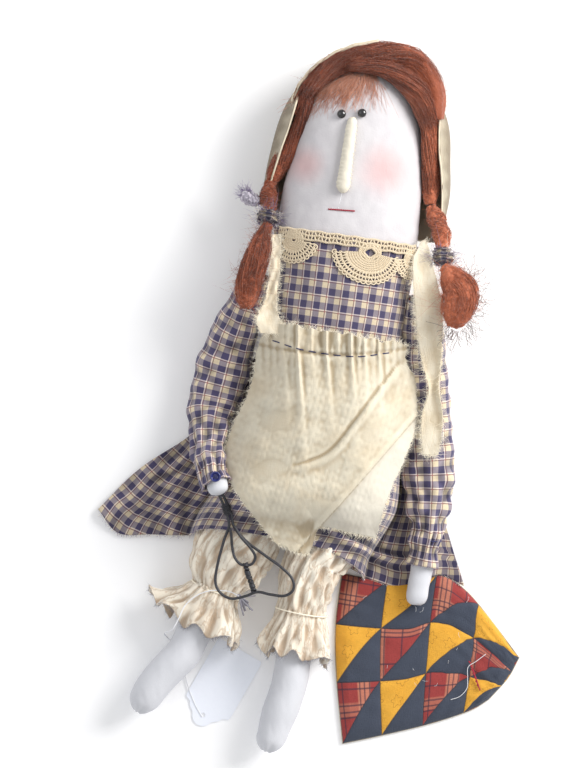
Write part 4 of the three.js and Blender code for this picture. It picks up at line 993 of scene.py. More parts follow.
def apron_cloth():
    """The apron with its torn edge and a running stitch of navy thread across the gathers."""
    P = apron_grid(180, 200)
    apron = carry(surface("apron_cloth", P, APRON, thick=RAG_THICK), HIP, ("apron",))
    edges = np.concatenate([P[::-1, 0], P[0], P[:, -1], P[-1, ::-1]])
    inner = np.concatenate([P[::-1, 3], P[3], P[:, -4], P[-4, ::-1]])
    outward = unit(edges - inner)
    outward[..., 2] *= 0.3
    threads = [carry(fray("apron_torn_edge", edges, outward, 1900, 4.4, CREAM_THREAD, 45, 0.13, 0.5), HIP)]
    dashes = []
    for start in np.arange(0.0, 1.0, 0.105):
        s = np.clip(start + np.linspace(0, 0.062, 8), 0, 1)
        px = curve_at([[0, -52.7, 3.4], [0.25, -28.9, -4.25], [0.7, 15.3, -10.2], [1, 45, -7.0]], s)
        x = px[:, 0] * math.cos(TILT) - px[:, 1] * math.sin(TILT)
        y = px[:, 0] * math.sin(TILT) + px[:, 1] * math.cos(TILT)
        dip = 1.1 * (2 * np.linspace(0, 1, 8) - 1) ** 4
        dashes.append(np.stack([x, y, apron_height(x, y) + 0.5 - dip], -1))
    threads.append(carry(tubes("apron_running_stitch", np.stack(dashes), 0.55, NAVY_THREAD, 6), HIP))


apron_cloth()


# Legs and pantaloons

LEG_OUT, LEG_TOP, LEG_LONG = 86, -147.2, 190
LEG_UP, LEG_WIDE, LEG_HIGH, LEG_FLOOR, LIFT_IN_PANTS = 20.5, 32.5, 34, 1.4, 3.2
PANTS_WIDE, PANTS_HIGH, PANTS_FLOOR, PANTS_AROUND = 68, 49, 1.6, 170
LEG_ROUTE = {"right": [[0, -0.43], [0.08, -0.47], [0.19, -0.64], [0.4, -0.84], [0.63, -1], [0.84, -1.3],
                       [1, -1.46]],
             "left": [[0, 0.24], [0.08, 0.22], [0.2, 0.14], [0.42, 0.04], [0.63, 0.05], [0.86, -0.02],
                      [1.1, -0.13]]}
LEG_END = {"right": 0.975, "left": 1.07}
LEG_SIZE = [[0, 0.86, 0.94], [0.06, 0.96, 1], [0.4, 0.98, 0.98], [0.7, 0.93, 0.95], [0.86, 0.9, 0.9],
            [0.95, 0.76, 0.74], [0.985, 0.5, 0.5], [1, 0.24, 0.26]]
PANTS = {"right": [[.018, -.01, .66, .93], [.1, -.08, .94, 1], [.2, -.06, 1, .97], [.31, -.03, .88, .93],
                   [.385, 0, .62, .85], [.43, 0, .74, .88], [.51, 0, 1, .9], [.563, 0, 1.08, .9]],
         "left": [[.018, -.01, .66, .93], [.11, -.01, .84, 1], [.205, -.04, .76, 1], [.32, -.02, .7, .95],
                  [.43, 0, .62, .86], [.48, 0, .7, .88], [.565, -.01, .85, .9], [.618, -.02, .9, .9]]}
GATHER = {"right": 0.385, "left": 0.43}


def leg_place(side, down):
    """Place in plan of a leg's centre line at a share down the leg's length."""
    return float(curve_at(LEG_ROUTE[side], down)[0]) * LEG_OUT, LEG_TOP - down * LEG_LONG


def stuffed_leg(side):
    """A leg: elliptical rings along its route, lumpy, gathered at the toe and flat on the floor, with its
    underside raised a little where the pantaloon covers it."""
    rows = [[s, *leg_place(side, s * LEG_END[side]), LEG_UP, LEG_WIDE * w, LEG_HIGH * h]
            for s, w, h in LEG_SIZE]
    shares = np.concatenate([np.linspace(0, 0.9, 90), 1 - 0.1 * np.cos(np.linspace(0, math.pi / 2, 30))[1:]])
    P, s, theta = limb(rows, around=72, floor=LEG_FLOOR, shares=shares)
    lump = 0.5 * ripple(P[..., 0] / 40, P[..., 1] / 40, 51, 0.5, 1.3)
    lump = lump + 0.1 * ripple(P[..., 0] / 8, P[..., 1] / 8, 52, 0.5, 1.4)
    toe = 0.6 * step(0.93, 1, s) * folds(theta, s * 4, 53, (5, 7))
    P = swell(P, lump + toe, LEG_FLOOR)
    hem = PANTS[side][-1][0]
    covered = 1 - step(hem - 0.14, hem - 0.03, s * LEG_END[side])
    P[..., 2] = np.maximum(P[..., 2], LEG_FLOOR + LIFT_IN_PANTS * covered)
    leg = carry(surface(f"{side}_leg", P, LIMB, around=True, ends=True), f"{side}_leg",
                (f"{side}_leg_skin", f"{side}_leg_stuffing"))


def pantaloon_leg(side):
    """A pantaloon leg: pleats that fade towards its top and its thread, close pleats where the thread
    gathers it, and below that a ruffle whose lobes and creases grow with powers of the share down it."""
    rows = []
    for down, out, w, h in PANTS[side]:
        x, y = leg_place(side, down)
        rows.append([down, x + out * LEG_OUT, y, PANTS_HIGH * h / 2, PANTS_WIDE * w, PANTS_HIGH * h])
    last, pinch = rows[-1][0], GATHER[side]
    P, s, theta = limb(rows, 130, PANTS_AROUND, PANTS_FLOOR)
    slack = np.abs(s - pinch)
    leg_folds = pleats(theta + 0.9 * s, s * 1.6, 61 if side == "right" else 62, (5, 8, 13), 0.8)
    body = step(0.0, 0.06, slack) * (s < pinch) * (1.5 + 0.8 * step(0.05, 0.2, s))
    close = 1.1 * bump(s, pinch, 0.045)
    flare = np.clip((s - pinch) / (last - pinch), 0, 1)
    lobes = folds(theta, s * 3, 63 if side == "right" else 65, (3, 4, 5, 8), 0.6)
    crease = pleats(theta, s * 3, 69, (9, 14, 19), 0.7)
    crumple = ripple(4 * np.cos(theta) + 3 * s, 14 * s + 4 * np.sin(theta), 70, 0.5, 1.3)
    amount = (leg_folds * body + pleats(theta, s * 2, 64, (17, 23, 29), 0.3) * close + crumple * 0.42 * body
              + flare**0.7 * (lobes * 4.8 * flare + crease * 1.5 + crumple * 1.6 + 0.6))
    P = swell(P, amount, PANTS_FLOOR)
    P[..., 1] += (3.4 * ripple(theta * 2, 0 * s, 66, 0.4, 1.2) + 2.4 * lobes + 1.2 * crease) * flare**3
    if side == "right":
        aside = -np.cos(theta) * np.sign(P[0, 0, 0] - P[0, PANTS_AROUND // 2, 0])
        P += (flare**1.6 * step(0.1, 0.9, aside))[..., None] * np.array([-5, 9, 0])
    pants = surface(f"{side}_pantaloon_cloth", P, PANTALOON, around=True, thick=PANTS_THICK)
    carry(pants, f"{side}_leg", (f"{side}_pantaloon_leg",))
    ruffle = closed(P[-1])
    threads = carry(fray(f"{side}_ruffle_threads", ruffle, unit(ruffle - closed(P[-8])), 950, 3.6,
                         GREY_THREAD, 67, 0.09, 0.6), f"{side}_leg")
    P, _, theta = limb(rows, shares=np.array([pinch - 0.004, pinch, pinch + 0.004]), floor=1.6, around=90)
    ring = closed(swell(P, 1.2 + 0.0 * theta, 1.8)[1])
    carry(tubes(f"{side}_ankle_thread", ring, 0.6, CREAM_THREAD, 6), f"{side}_leg",
          (f"{side}_ankle_gather",))


for side in ("right", "left"):
    stuffed_leg(side)
    pantaloon_leg(side)


def pantaloon_seat():
    """The seat of the pantaloons: rings of the body, 1.3 further out."""
    y = np.linspace(SEAT + 1.5, SEAT + 0.24 * LENGTH, 40)
    P, _, _ = body_tube(y, 140, 1.3)
    P = swell(P, 0.15 * ripple(P[..., 0] / 20, P[..., 1] / 20, 68, 0.6, 1.4), PANTS_FLOOR)
    seat = surface("pantaloon_seat_cloth", P, PANTALOON, around=True, thick=MUSLIN_THICK)
    carry(seat, "torso", ("pantaloon_seat",))


pantaloon_seat()


# Arms and sleeves

ARM_ROUTE = {"right": [[0, 0, -.02, .67], [.15, .17, .15, .54], [.35, .4, .37, .35], [.55, .5, .55, .31],
                       [.7, .53, .7, .43], [.85, .42, .86, .8], [1, .15, .98, 1.005]],
             "left": [[0, 0, -.02, .67], [.14, .14, .135, .5], [.38, .45, .38, .33], [.58, .7, .58, .285],
                      [.76, .82, .76, .27], [.86, .79, .86, .235], [1, .79, 1, .213]]}
ARM_LONG, ARM_START = {"right": 191, "left": 260}, {"right": -73.2, "left": 67.4}
ARM_OUT, ARM_TOP, ARM_UP, ARM_WIDE, SLEEVE_WIDE, SLEEVE_HIGH = 40, 50, 68.8, 20, 46, 32
ARM_SIZE = [[0, .5, .5], [.05, 1, 1], [.5, 1, 1], [.8, .98, .8], [.96, .9, .75], [.99, .78, .6], [1, .5, .4]]
SLEEVE = {"right": [[.02, .56, .86], [.1, .6, 1], [.3, .9, 1.02], [.5, 1, 1], [.65, .88, .94],
                    [.8, .62, .76], [.9, .56, .72], [.955, .58, .74]],
          "left": [[.02, .66, .86], [.12, .78, 1], [.35, .92, 1.04], [.58, .94, 1.02], [.72, .66, .9],
                   [.78, .52, .74], [.865, .58, .8]]}


def arm_rows(side, table, width, height):
    """Rows of a limb along an arm from a table of shares: along its route, of the width and of the height."""
    rows = []
    for share, w, h in table:
        out, down, up = curve_at(ARM_ROUTE[side], share)
        x = ARM_START[side] + (-1 if side == "right" else 1) * out * ARM_OUT
        rows.append([share, x, ARM_TOP - down * ARM_LONG[side], up * ARM_UP, w * width, h * height])
    return rows


def stuffed_arm(side):
    """An arm with its hand: elliptical rings along its route, lightly lumped."""
    P, _, _ = limb(arm_rows(side, ARM_SIZE, ARM_WIDE, ARM_WIDE), 110, 56)
    P = swell(P, 0.25 * ripple(P[..., 0] / 15, P[..., 1] / 15, 71, 0.5, 1.3))
    arm = carry(surface(f"{side}_arm", P, LIMB, around=True, ends=True), f"{side}_arm",
                (f"{side}_arm_skin", f"{side}_arm_stuffing"))


def sleeve_cloth(side):
    """A sleeve: long folds, soft crumples across and close pleats where it is gathered, with its cuff's
    threads and, on the left, the thread round the wrist."""
    rows = arm_rows(side, SLEEVE[side], SLEEVE_WIDE, SLEEVE_HIGH)
    P, s, theta = limb(rows, 140, 120)
    wrist = 0.9 if side == "right" else 0.78
    seed = 72 if side == "right" else 82
    long_folds = folds(theta, s * 8, seed, (3, 5, 8), 1.2) * (0.7 + 1.2 * bump(s, wrist - 0.12, 0.12))
    cross = 1.0 * ripple(P[..., 0] / 30, P[..., 1] / 22, seed + 1, 0.5, 1.4) * step(0.05, 0.2, s)
    gathered = 0.9 * bump(s, wrist, 0.05) + 0.7 * bump(s, 0.04, 0.05)
    pleat = folds(theta, s * 5, seed + 2, (13, 17, 21), 0.4) * gathered
    P = swell(P, long_folds + np.maximum(cross, -1.0) + pleat, 0.2)
    sleeve = surface(f"{side}_sleeve_cloth", P, SLEEVE_CHECK, around=True, thick=CHECK_THICK)
    carry(sleeve, f"{side}_arm", (f"{side}_sleeve",))
    end, before = closed(P[-1]), closed(P[-5])
    threads = carry(fray(f"{side}_cuff_threads", end, unit(end - before), 170, 2.4, PURPLE_THREAD, seed + 3,
                         0.1, 0.5), f"{side}_arm")
    if side == "left":
        Q, _, theta = limb(rows, shares=np.array([0.776, 0.78, 0.784]), around=80)
        ring = closed(swell(Q, 0.75 + 0 * theta)[1])
        carry(tubes("left_wrist_thread", ring, 0.6, NAVY_THREAD, 6), "left_arm", ("left_wrist_gather",))


for side in ("right", "left"):
    stuffed_arm(side)
    sleeve_cloth(side)

BUTTON_X, BUTTON_Y, BUTTON_Z = -84.5, -124, 75.8


def cuff_button():
    """The button: a smooth profile turned about its middle, held by two crossed threads."""
    profile = np.array([[0.02, 0.9], [1.0, 0.9], [2.2, 1.1], [2.9, 1.7], [3.5, 2.35], [4.1, 2.4], [4.5, 1.9],
                        [4.5, 0.7], [4.0, 0.1], [0.02, 0]])
    line = route(profile, 50)
    go = TAU * np.arange(48) / 48
    P = np.stack([BUTTON_X + line[:, :1] * np.cos(go), BUTTON_Y + line[:, :1] * np.sin(go),
                  BUTTON_Z + line[:, 1:] + 0 * go], -1)
    carry(surface("cuff_button", P, BUTTON, around=True, ends=True), "right_arm", ("right_cuff_button",))
    t = np.linspace(0, 1, 12)
    cross = [np.stack([BUTTON_X + a * (t - 0.5) * 3.2, BUTTON_Y + b * (t - 0.5) * 3.2,
                       BUTTON_Z + 1.1 + 0.8 * np.sin(math.pi * t)], -1) for a, b in ((1, 1), (1, -1))]
    carry(tubes("button_thread", np.stack(cross), 0.35, NAVY_THREAD, 5), "right_arm")


cuff_button()


# Rug beater

BEATER_X, BEATER_TOP, BEATER_WIDE, BEATER_LONG, BEATER_HIGH = -83, -134.01, 77, 91, 54.74
WIRE_RADIUS = 1.2


def beat(rows):
    """Places of the beater from rows of shares: across its width, down its length and of its height."""
    return [[BEATER_X + a * BEATER_WIDE, BEATER_TOP - d * BEATER_LONG, h * BEATER_HIGH] for a, d, h in rows]


OUTER = beat([[.026, .035, 1.052], [.084, .11, 1.052], [.156, .22, 1.046], [.201, .33, 1.022],
              [.169, .462, 1], [.136, .681, 1], [.136, .857, 1], [.208, .956, 1], [.338, .995, 1],
              [.481, .956, 1], [.61, .901, 1], [.753, .907, 1], [.909, .901, 1], [.994, .835, 1],
              [.968, .736, 1], [.831, .643, 1], [.636, .555, 1], [.416, .451, 1], [.26, .335, 1.022],
              [.201, .209, 1.046], [.123, .1, 1.052], [.068, .03, 1.052]])
INNER = beat([[.216, .352, 1.077], [.24, .418, 1.046], [.266, .516, 1], [.312, .615, 1], [.396, .67, 1],
              [.5, .654, 1], [.532, .582, 1], [.468, .505, 1.035], [.351, .418, 1.075], [.26, .324, 1.081]])
for name, line in (("outer", route(OUTER, 420)), ("inner", route(INNER, 220))):
    wire = tubes(f"{name}_wire", line, WIRE_RADIUS, WIRE, 12)
    carry(wire, "beater", (f"beater_{name}_wire",))


def wrap(path, wide, high, turns, steps, wander=0.12):
    """A wire wound round a path: an ellipse turned along it, its pitch and size a little uneven."""
    line = route(path, steps)
    ahead = unit(np.gradient(line, axis=0))
    across = unit(np.cross(ahead, [0, 0, 1.0]))
    up = np.cross(across, ahead)
    t = np.linspace(0, 1, steps)
    angle = (TAU * turns * (t + wander / turns * np.sin(t * 17)))[:, None]
    uneven = (1 + 0.07 * np.sin(t * 41 + 1))[:, None]
    return line + uneven * (across * wide * np.cos(angle) + up * high * np.sin(angle))


handle = wrap(beat([[.125, .14, 1.052], [.182, .23, 1.05]]), 3.4, 2.2, 8, 500)
carry(tubes("handle_wrap", handle, 0.5, WIRE, 7), "beater", ("beater_handle_binding",))
tie_path = beat([[.435, .655, 1.0], [.475, .74, 1.0], [.53, .83, 1.0], [.575, .905, 1.0]])
cross_tie = np.stack([wrap(tie_path, 1.5, 1.5, 7, 420), wrap(tie_path, -1.5, -1.5, 7, 420, 0.3)])
carry(tubes("cross_wrap", cross_tie, 1.05, WIRE, 7), "beater", ("beater_cross_tie",))


# Crochet collar

def on_bodice(x, y, lift):
    """Places on the front of the bodice, rounding the sides with it."""
    a, b = section(y)
    a, b = a + 2.1 + lift, b + 2.1 + lift
    bend = np.clip((x - MIDDLE_X) / a, -1.5, 1.5) * 0.92
    across = a * np.sin(bend * 1.25) / math.sin(1.25 * 0.92) * 0.97
    return np.stack([MIDDLE_X + across, y, MIDDLE_Z + b * np.cos(bend * 1.25)], -1)


def chain(x, y, pitch, lift=0.6, high=0.55):
    """A crochet row: two threads that wind round each other along a line."""
    run = np.concatenate([[0], np.cumsum(np.hypot(np.diff(x), np.diff(y)))])
    nx, ny = -np.gradient(y), np.gradient(x)
    long = np.hypot(nx, ny) + 1e-9
    spin = TAU * run / pitch
    return [on_bodice(x + s * high * np.sin(spin) * nx / long, y + s * high * np.sin(spin) * ny / long,
                      lift + s * 0.35 * np.cos(spin)) for s in (1, -1)]


UPPER_ROW, MIDDLE_ROW, LOWER_ROW = 91.6, 88.0, 84.2


def straight_band():
    """Three rows of chain along the neckline, and posts between them that lean by turns."""
    rows, posts = [], []
    x = np.linspace(-60, 56, 260)
    for level in (UPPER_ROW, MIDDLE_ROW, LOWER_ROW):
        rows += chain(x, level + 0.35 * np.sin(x / 2.1), 3.4)
    for index, at in enumerate(np.arange(-59, 56, 2.6)):
        lean = 1.3 if index % 2 else -1.3
        for low, high in ((UPPER_ROW, MIDDLE_ROW), (MIDDLE_ROW, LOWER_ROW)):
            t = np.linspace(0, 1, 12)
            lift = 0.55 + 0.4 * np.sin(math.pi * t)
            posts.append(on_bodice(at + lean * (t - 0.5), mix(low, high, t), lift))
    return rows, posts


def medallion(cx, cy, big, hole):
    """Half rounds of chain about a point, whole ones near the hole, with two rings of leaning posts and a
    picot edge of small loops. The big one's first rounds are squarish: 1 + 0.1 cos of four turns."""
    rows, posts = [], []
    radii = list(np.arange(hole, big - 9.5, 1.75)) + [big - 9.2, big - 5.6, big - 2.2]
    for number, radius in enumerate(radii):
        full = radius < 8
        turn = np.linspace(0 if full else math.pi * 1.03, TAU if full else TAU * 0.985, 260)
        squarish = 1 + (0.10 * np.cos(4 * turn) if number < 2 and big > 25 else 0)
        rows += chain(cx + radius * squarish * np.cos(turn), cy + radius * squarish * np.sin(turn),
                      2.6 if number < len(radii) - 3 else 3.2)
    for low, high in ((big - 10.2, big - 9.2 + 3.6), (big - 5.6, big - 2.2)):
        count = int(math.pi * high / 2.7)
        for index, turn in enumerate(np.linspace(math.pi * 1.05, TAU * 0.98, count)):
            lean = 0.06 if index % 2 else -0.06
            t = np.linspace(0, 1, 12)
            r, angle = mix(low, high, t), turn + lean * (t - 0.5) * 20 / high
            posts.append(on_bodice(cx + r * np.cos(angle), cy + r * np.sin(angle),
                                   0.6 + 0.4 * np.sin(math.pi * t)))
    for turn in np.arange(math.pi * 1.04, TAU * 0.99, 4.0 / big):
        loop = np.linspace(-0.6, math.pi + 0.6, 12)
        px, py = big - 1.7 + 1.9 * np.sin(loop), 1.75 * np.cos(loop)
        out_x, out_y = px * np.cos(turn) - py * np.sin(turn), px * np.sin(turn) + py * np.cos(turn)
        posts.append(on_bodice(cx + out_x, cy + out_y, 0.6))
    return rows, posts


rows_long, posts = straight_band()
for place in ((-42.5, 83.0, 20.0, 2.6), (14.6, 80.5, 26.5, 4.2), (52.0, 80.0, 17.0, 2.4)):
    more_rows, more_posts = medallion(*place)
    rows_long += more_rows
    posts += more_posts
carry(tubes("crochet_rows", np.stack(rows_long), 0.62, LACE, 4), "torso", ("lace_collar",))
carry(tubes("crochet_posts", np.stack(posts), 0.6, LACE, 5), "torso")


# Bonnet

BONNET_ROWS = [[0, .49, .52, .009, .84], [.15, .497, .52, .009, .98], [.45, .465, .52, .009, 1.16],
               [.62, .43, .52, .009, 1.18], [.75, .365, .5, .012, 1.14], [.86, .28, .45, .06, 1.08],
               [.95, .19, .4, .18, 1.04], [1, .09, .37, .27, 1.04]]
BONNET_WIDE, BONNET_LONG, BONNET_FOOT = 161, 157, 98


def bonnet_cloth():
    """The bonnet: arcs behind the head at each height, crumpled, with a brim that folds inwards and up."""
    v, u = np.meshgrid(np.linspace(0, 1, 92), np.linspace(0, 1, 120), indexing="ij")
    wide, centre, low, turn = np.moveaxis(curve_at(BONNET_ROWS, v), -1, 0)
    angle = (2 * u - 1) * turn * math.pi / 2
    soft = 1.3 * ripple(u * 3, v * 3, 91, 0.5, 1.4) * np.cos(angle * 0.5) ** 2
    crumple = soft + 0.9 * step(0.7, 1, v) * np.sin(u * 60)
    brim = step(0.86, 0.97, np.abs(2 * u - 1)) * step(0, 0.1, v) * (1 - step(0.58, 0.74, v))
    inwards = 6.5 + 1.2 * ripple(v * 7, 0 * u, 95, 0.5, 1.4)
    upwards = 6.0 + 1.2 * ripple(v * 9, u * 3, 96, 0.5, 1.4)
    x = (wide * BONNET_WIDE + 0.7 * crumple) * np.sin(angle) - np.sign(angle) * inwards * brim
    y = BONNET_FOOT + v * BONNET_LONG + 0.6 * ripple(u * 5, v, 92, 0.5, 1.5) * (1 - v) ** 4
    z = np.maximum((centre - (centre - low) * np.cos(angle)) * THICK, 0.9) + upwards * brim
    P = np.stack([x, y, z], -1)
    bonnet = surface("bonnet_cloth", P, BONNET, thick=MUSLIN_THICK)
    carry(bonnet, "torso", ("bonnet",))
    rim = [route(P[::6, column], 160) + [0, 0, 0.3] for column in (0, -1)]
    hem = carry(tubes("bonnet_rolled_edge", np.stack(rim), 0.75, TIE, 7), "torso")


bonnet_cloth()


def bonnet_knot():
    """The knot at the bonnet's right side, with its frayed ends."""
    knot_rows = [[0, -80, 113, 44, 5, 5], [.3, -83, 112, 45, 9, 9], [.6, -87, 112, 45, 10, 8],
                 [.85, -91, 114, 44, 12, 5], [1, -94, 117, 43, 11, 2]]
    P, s, theta = limb(knot_rows, 60, 60)
    P = swell(P, folds(theta, s * 6, 93, (3, 5, 8), 1.2) * 1.3)
    carry(surface("bonnet_knot", P, KNOT_CLOTH, around=True, ends=True), "torso", ())
    start = np.array([[-88, 119, 45], [-95, 118, 44], [-96, 112, 43]])
    away = unit(np.array([[-0.3, 1, 0.2], [-0.8, 0.8, 0.2], [-1, 0.2, 0.1]]))
    carry(fray("bonnet_knot_threads", route(start, 12), unit(route(away, 12)), 130, 9, PURPLE_THREAD, 94,
               0.13, 0.35), "torso")


bonnet_knot()


# Bonnet ties

TIES = {"right": [[0, -.97, .598, .83, .35, 0], [.3, -.93, .53, .87, .42, .2],
                  [.6, -.92, .455, .885, .45, .3], [.8, -.93, .425, .91, .75, .5],
                  [.92, -.9, .4, .94, 1.05, .6], [1, -.84, .378, .95, .95, .5]],
        "left": [[0, 1.06, .632, .71, .12, 0], [.05, 1.07, .61, .76, .5, .2], [.1, 1.08, .585, .8, .8, .4],
                 [.2, 1.17, .532, .86, 1.05, .3], [.32, 1.26, .479, .835, 1.15, .2],
                 [.48, 1.34, .413, .75, 1.0, .5], [.6, 1.42, .352, .67, .7, 1.0],
                 [.7, 1.49, .305, .635, .4, 1.6], [.8, 1.52, .25, .605, .85, .7],
                 [.9, 1.545, .205, .58, .85, .4], [1, 1.57, .16, .565, .62, .2]]}
TIE_WIDE, TIE_FLAT = 20, 0.024


def bonnet_tie(side, move, fuzz_count, seed):
    """A torn strip along its table of places, whose edges curl up with the square of the share across."""
    v, u = np.meshgrid(np.linspace(0, 1, 220), np.linspace(-0.5, 0.5, 26), indexing="ij")
    rows = curve_at(TIES[side], v)
    edge = 0.35 * ripple(v * 40, u, seed, 0.5, 1.5)
    wide = (rows[..., 3] * TIE_WIDE + edge) * u
    curl = rows[..., 4] * 2.2 * (4 * u**2) + 0.8 * ripple(v * 6, u * 1.2, seed + 1, 0.5, 1.3)
    P = np.stack([MIDDLE_X + rows[..., 0] * HALF + wide, SEAT + rows[..., 1] * LENGTH + 1.5 * u,
                  rows[..., 2] * THICK + 1.0 + np.maximum(curl, -0.6)], -1)
    tie = surface(f"{side}_bonnet_tie_cloth", P, TIE, thick=RAG_THICK)
    carry(tie, move, (f"{side}_bonnet_tie",))
    edges = np.concatenate([P[:, 0], P[-1], P[::-1, -1]])
    outward = unit(edges - np.concatenate([P[:, 2], P[-4], P[::-1, -3]]))
    fuzz = carry(fray(f"{side}_tie_fuzz", edges, outward, fuzz_count, 5.2, CREAM_THREAD, seed + 2, 0.11,
                      0.75), move)


bonnet_tie("right", RIGHT_TIE, 850, 101)
bonnet_tie("left", LEFT_TIE, 1700, 111)


# Hair

LOCK_CORE, HAIR_RADIUS = 0.88, 0.22
HAIR_TAPER = np.concatenate([np.linspace(0.3, 1, 4), np.ones(3), np.linspace(1, 0.2, 4)])


def body_rows(rows, size):
    """Rows of a limb from shares: x of the body's half width, y of its length, z of its thickness, and
    width and height of size."""
    return [[s, MIDDLE_X + x * HALF, SEAT + y * LENGTH, z * THICK, w * size, h * size]
            for s, x, y, z, w, h in rows]


def strands(rows, count, seed, twist=0.0, start=(0.0, 0.6), end=(0.4, 1.0), wild=0.5):
    """Hairs inside a lock: each keeps its place in the elliptical section, turned along the lock, and sways
    both ways by two sine waves of its own."""
    r = np.random.default_rng(seed)
    t = np.linspace(0, 1, len(HAIR_TAPER))
    first, last = rows[0][0], rows[-1][0]
    begin = r.uniform(*start, count)[:, None]
    finish = r.uniform(*end, count)[:, None]
    share = first + (last - first) * mix(begin, finish, t)
    centre, across, up, size = frame_of(rows, share.ravel())
    shape = lambda a: a.reshape(count, len(t), -1)
    radial = np.sqrt(r.uniform(0.35, 1, count))[:, None]
    angle = r.uniform(0, TAU, count)[:, None] + twist * TAU * share

    def sway(wide, low, high):
        """A sine wave along each hair with its own width, frequency and phase."""
        own = r.normal(0, wide, (count, 1))
        often = r.uniform(low, high, (count, 1))
        return own * np.sin(t * often + r.uniform(0, TAU, (count, 1)))

    size = shape(size)
    a = radial * np.cos(angle) * size[..., 0] / 2 + (sway(wild, 3, 9) + sway(wild / 3, 14, 26))
    b = radial * np.sin(angle) * size[..., 1] / 2 + (sway(wild, 3, 9) + sway(wild / 3, 14, 26))
    paths = shape(centre) + shape(across) * a[..., None] + shape(up) * b[..., None]
    paths[..., 2] = np.maximum(paths[..., 2], 0.4)
    return paths, np.clip(r.normal(0.5, 0.22, count), 0, 1)


def lock(name, rows, count, seed, move, nodes, twist, wild, fuzz, reach):
    """A lock of roving: a lumpy core, strands over it and loose hairs that stand off."""
    P, s, theta = limb(rows, 90, 40)
    turned = theta + twist * TAU * s
    lump = folds(turned, s * 9, seed, (3, 5, 8), 0.8) * 0.6 + 0.4 * ripple(s * 14, theta, seed + 1, 0.5, 1.2)
    tone = 0.4 + 0.35 * folds(turned, s * 9, seed, (5, 9, 13), 0.8)
    centre = P.mean(1, keepdims=True)
    core_grid = swell(centre + (P - centre) * LOCK_CORE, lump, 0.3)
    core = surface(f"{name}_core", core_grid, WOOL, around=True, ends=True, tone=0.3 + 0.25 * tone)
    carry(core, move, nodes)
    paths, tones = strands(rows, count, seed + 2, twist, wild=wild)
    carry(tubes(f"{name}_strands", paths, HAIR_RADIUS * HAIR_TAPER, WOOL, 3, tones), move)
    r = np.random.default_rng(seed + 3)
    pick = r.integers(0, P.shape[0], fuzz), r.integers(0, P.shape[1], fuzz)
    out = unit(P - centre)[pick] + r.normal(0, 0.5, (fuzz, 3))
    t = np.linspace(0, 1, LOOSE_STEPS)[None, :, None]
    long = r.uniform(0.3, 1, (fuzz, 1, 1)) ** 2 * reach
    run = long * np.where(r.uniform(0, 1, (fuzz, 1, 1)) < 0.75, 0.4, 1)
    bend = r.normal(0, 0.7, (fuzz, 1, 3))
    curls = P[pick][:, None] + run * (unit(out)[:, None] * t + bend * t**2)
    curls[..., 2] = np.maximum(curls[..., 2], 0.4)
    carry(tubes(f"{name}_fuzz", curls, 0.08, WOOL, 3, r.uniform(0.3, 1, fuzz)), move)


ROLL = body_rows([[0, -.93, .87, .6, .45, .45], [.2, -.83, .927, .64, .6, .6],
                  [.4, -.52, .984, .66, .75, .75], [.6, -.02, 1.0205, .735, .88, .88],
                  [.8, .575, 1.021, .735, 1, 1], [.92, .88, .965, .72, 1.05, 1.05],
                  [1, .98, .9, .7, .8, .8]], 23)
lock("hair_top", ROLL, 1700, 201, "torso", ("hair_top_roll",), 0.7, 1.5, fuzz=1150, reach=9)


def bonnet_edge_beside_hair():
    """Four threads side by side make the bonnet's edge that shows along the top roll."""
    shares = np.linspace(0.0, 0.64, 90)
    centre, across, up, size = frame_of(ROLL, shares)
    away = np.sign((across * (centre - [MIDDLE_X, 130, 48])).sum(-1, keepdims=True)) * across
    lips = []
    for side, high in ((0.50, 0.16), (0.56, 0.06), (0.58, -0.06), (0.56, -0.18)):
        wander = 0.4 * ripple(shares * 9, 0 * shares, 97, 0.5, 1.4)[:, None]
        lips.append(centre + away * (size[:, :1] * side + 0.6 + wander) + up * size[:, 1:2] * high)
    carry(tubes("bonnet_edge_beside_hair", np.stack(lips), 0.95, TIE, 7), "torso")


bonnet_edge_beside_hair()
SIDES = {"right": body_rows([[0, -.9, .85, .6, .5, .5], [.2, -.96, .81, .58, .85, .9],
                             [.7, -1.09, .745, .55, 1, 1], [1, -1.14, .715, .57, .7, .7]], 15),
         "left": body_rows([[0, .98, .868, .6, .5, .5], [.2, 1.01, .835, .56, .95, .95],
                            [.7, 1.06, .75, .54, 1.07, 1.07], [1, 1.09, .713, .57, .7, .7]], 15)}
TWISTS = {"right": body_rows([[0, -1.145, .7135, .585, .55, .55], [.3, -1.16, .685, .63, .9, .85],
                              [1, -1.11, .648, .69, .75, .75]], 17),
          "left": body_rows([[0, 1.095, .7085, .585, .55, .55], [.25, 1.19, .683, .63, 1, .95],
                             [.5, 1.25, .665, .66, .85, .85], [.75, 1.3, .646, .7, 1, .95],
                             [1, 1.34, .618, .76, .65, .65]], 17)}
KNOTS = {"right": body_rows([[0, -1.11, .643, .7, .85, .85], [.5, -1.11, .632, .72, 1.1, 1],
                             [1, -1.12, .62, .75, .8, .75]], 17),
         "left": body_rows([[0, 1.342, .6155, .765, .75, .75], [.5, 1.36, .598, .79, 1, .9],
                            [1, 1.375, .585, .815, .7, .7]], 17)}
TAILS = {"right": body_rows([[0, -1.12, .618, .755, .5, .5], [.25, -1.17, .565, .88, 1.12, .75],
                             [.6, -1.25, .49, .93, 1.3, .85], [.9, -1.25, .44, .92, 1, .7],
                             [1, -1.24, .425, .91, .5, .4]], 17),
         "left": body_rows([[0, 1.39, .578, .83, .5, .5], [.2, 1.5, .56, .9, 1.3, .8],
                            [.5, 1.66, .525, .95, 1.85, 1], [.85, 1.63, .472, .95, 1.5, .85],
                            [1, 1.6, .448, .94, .6, .5]], 17)}


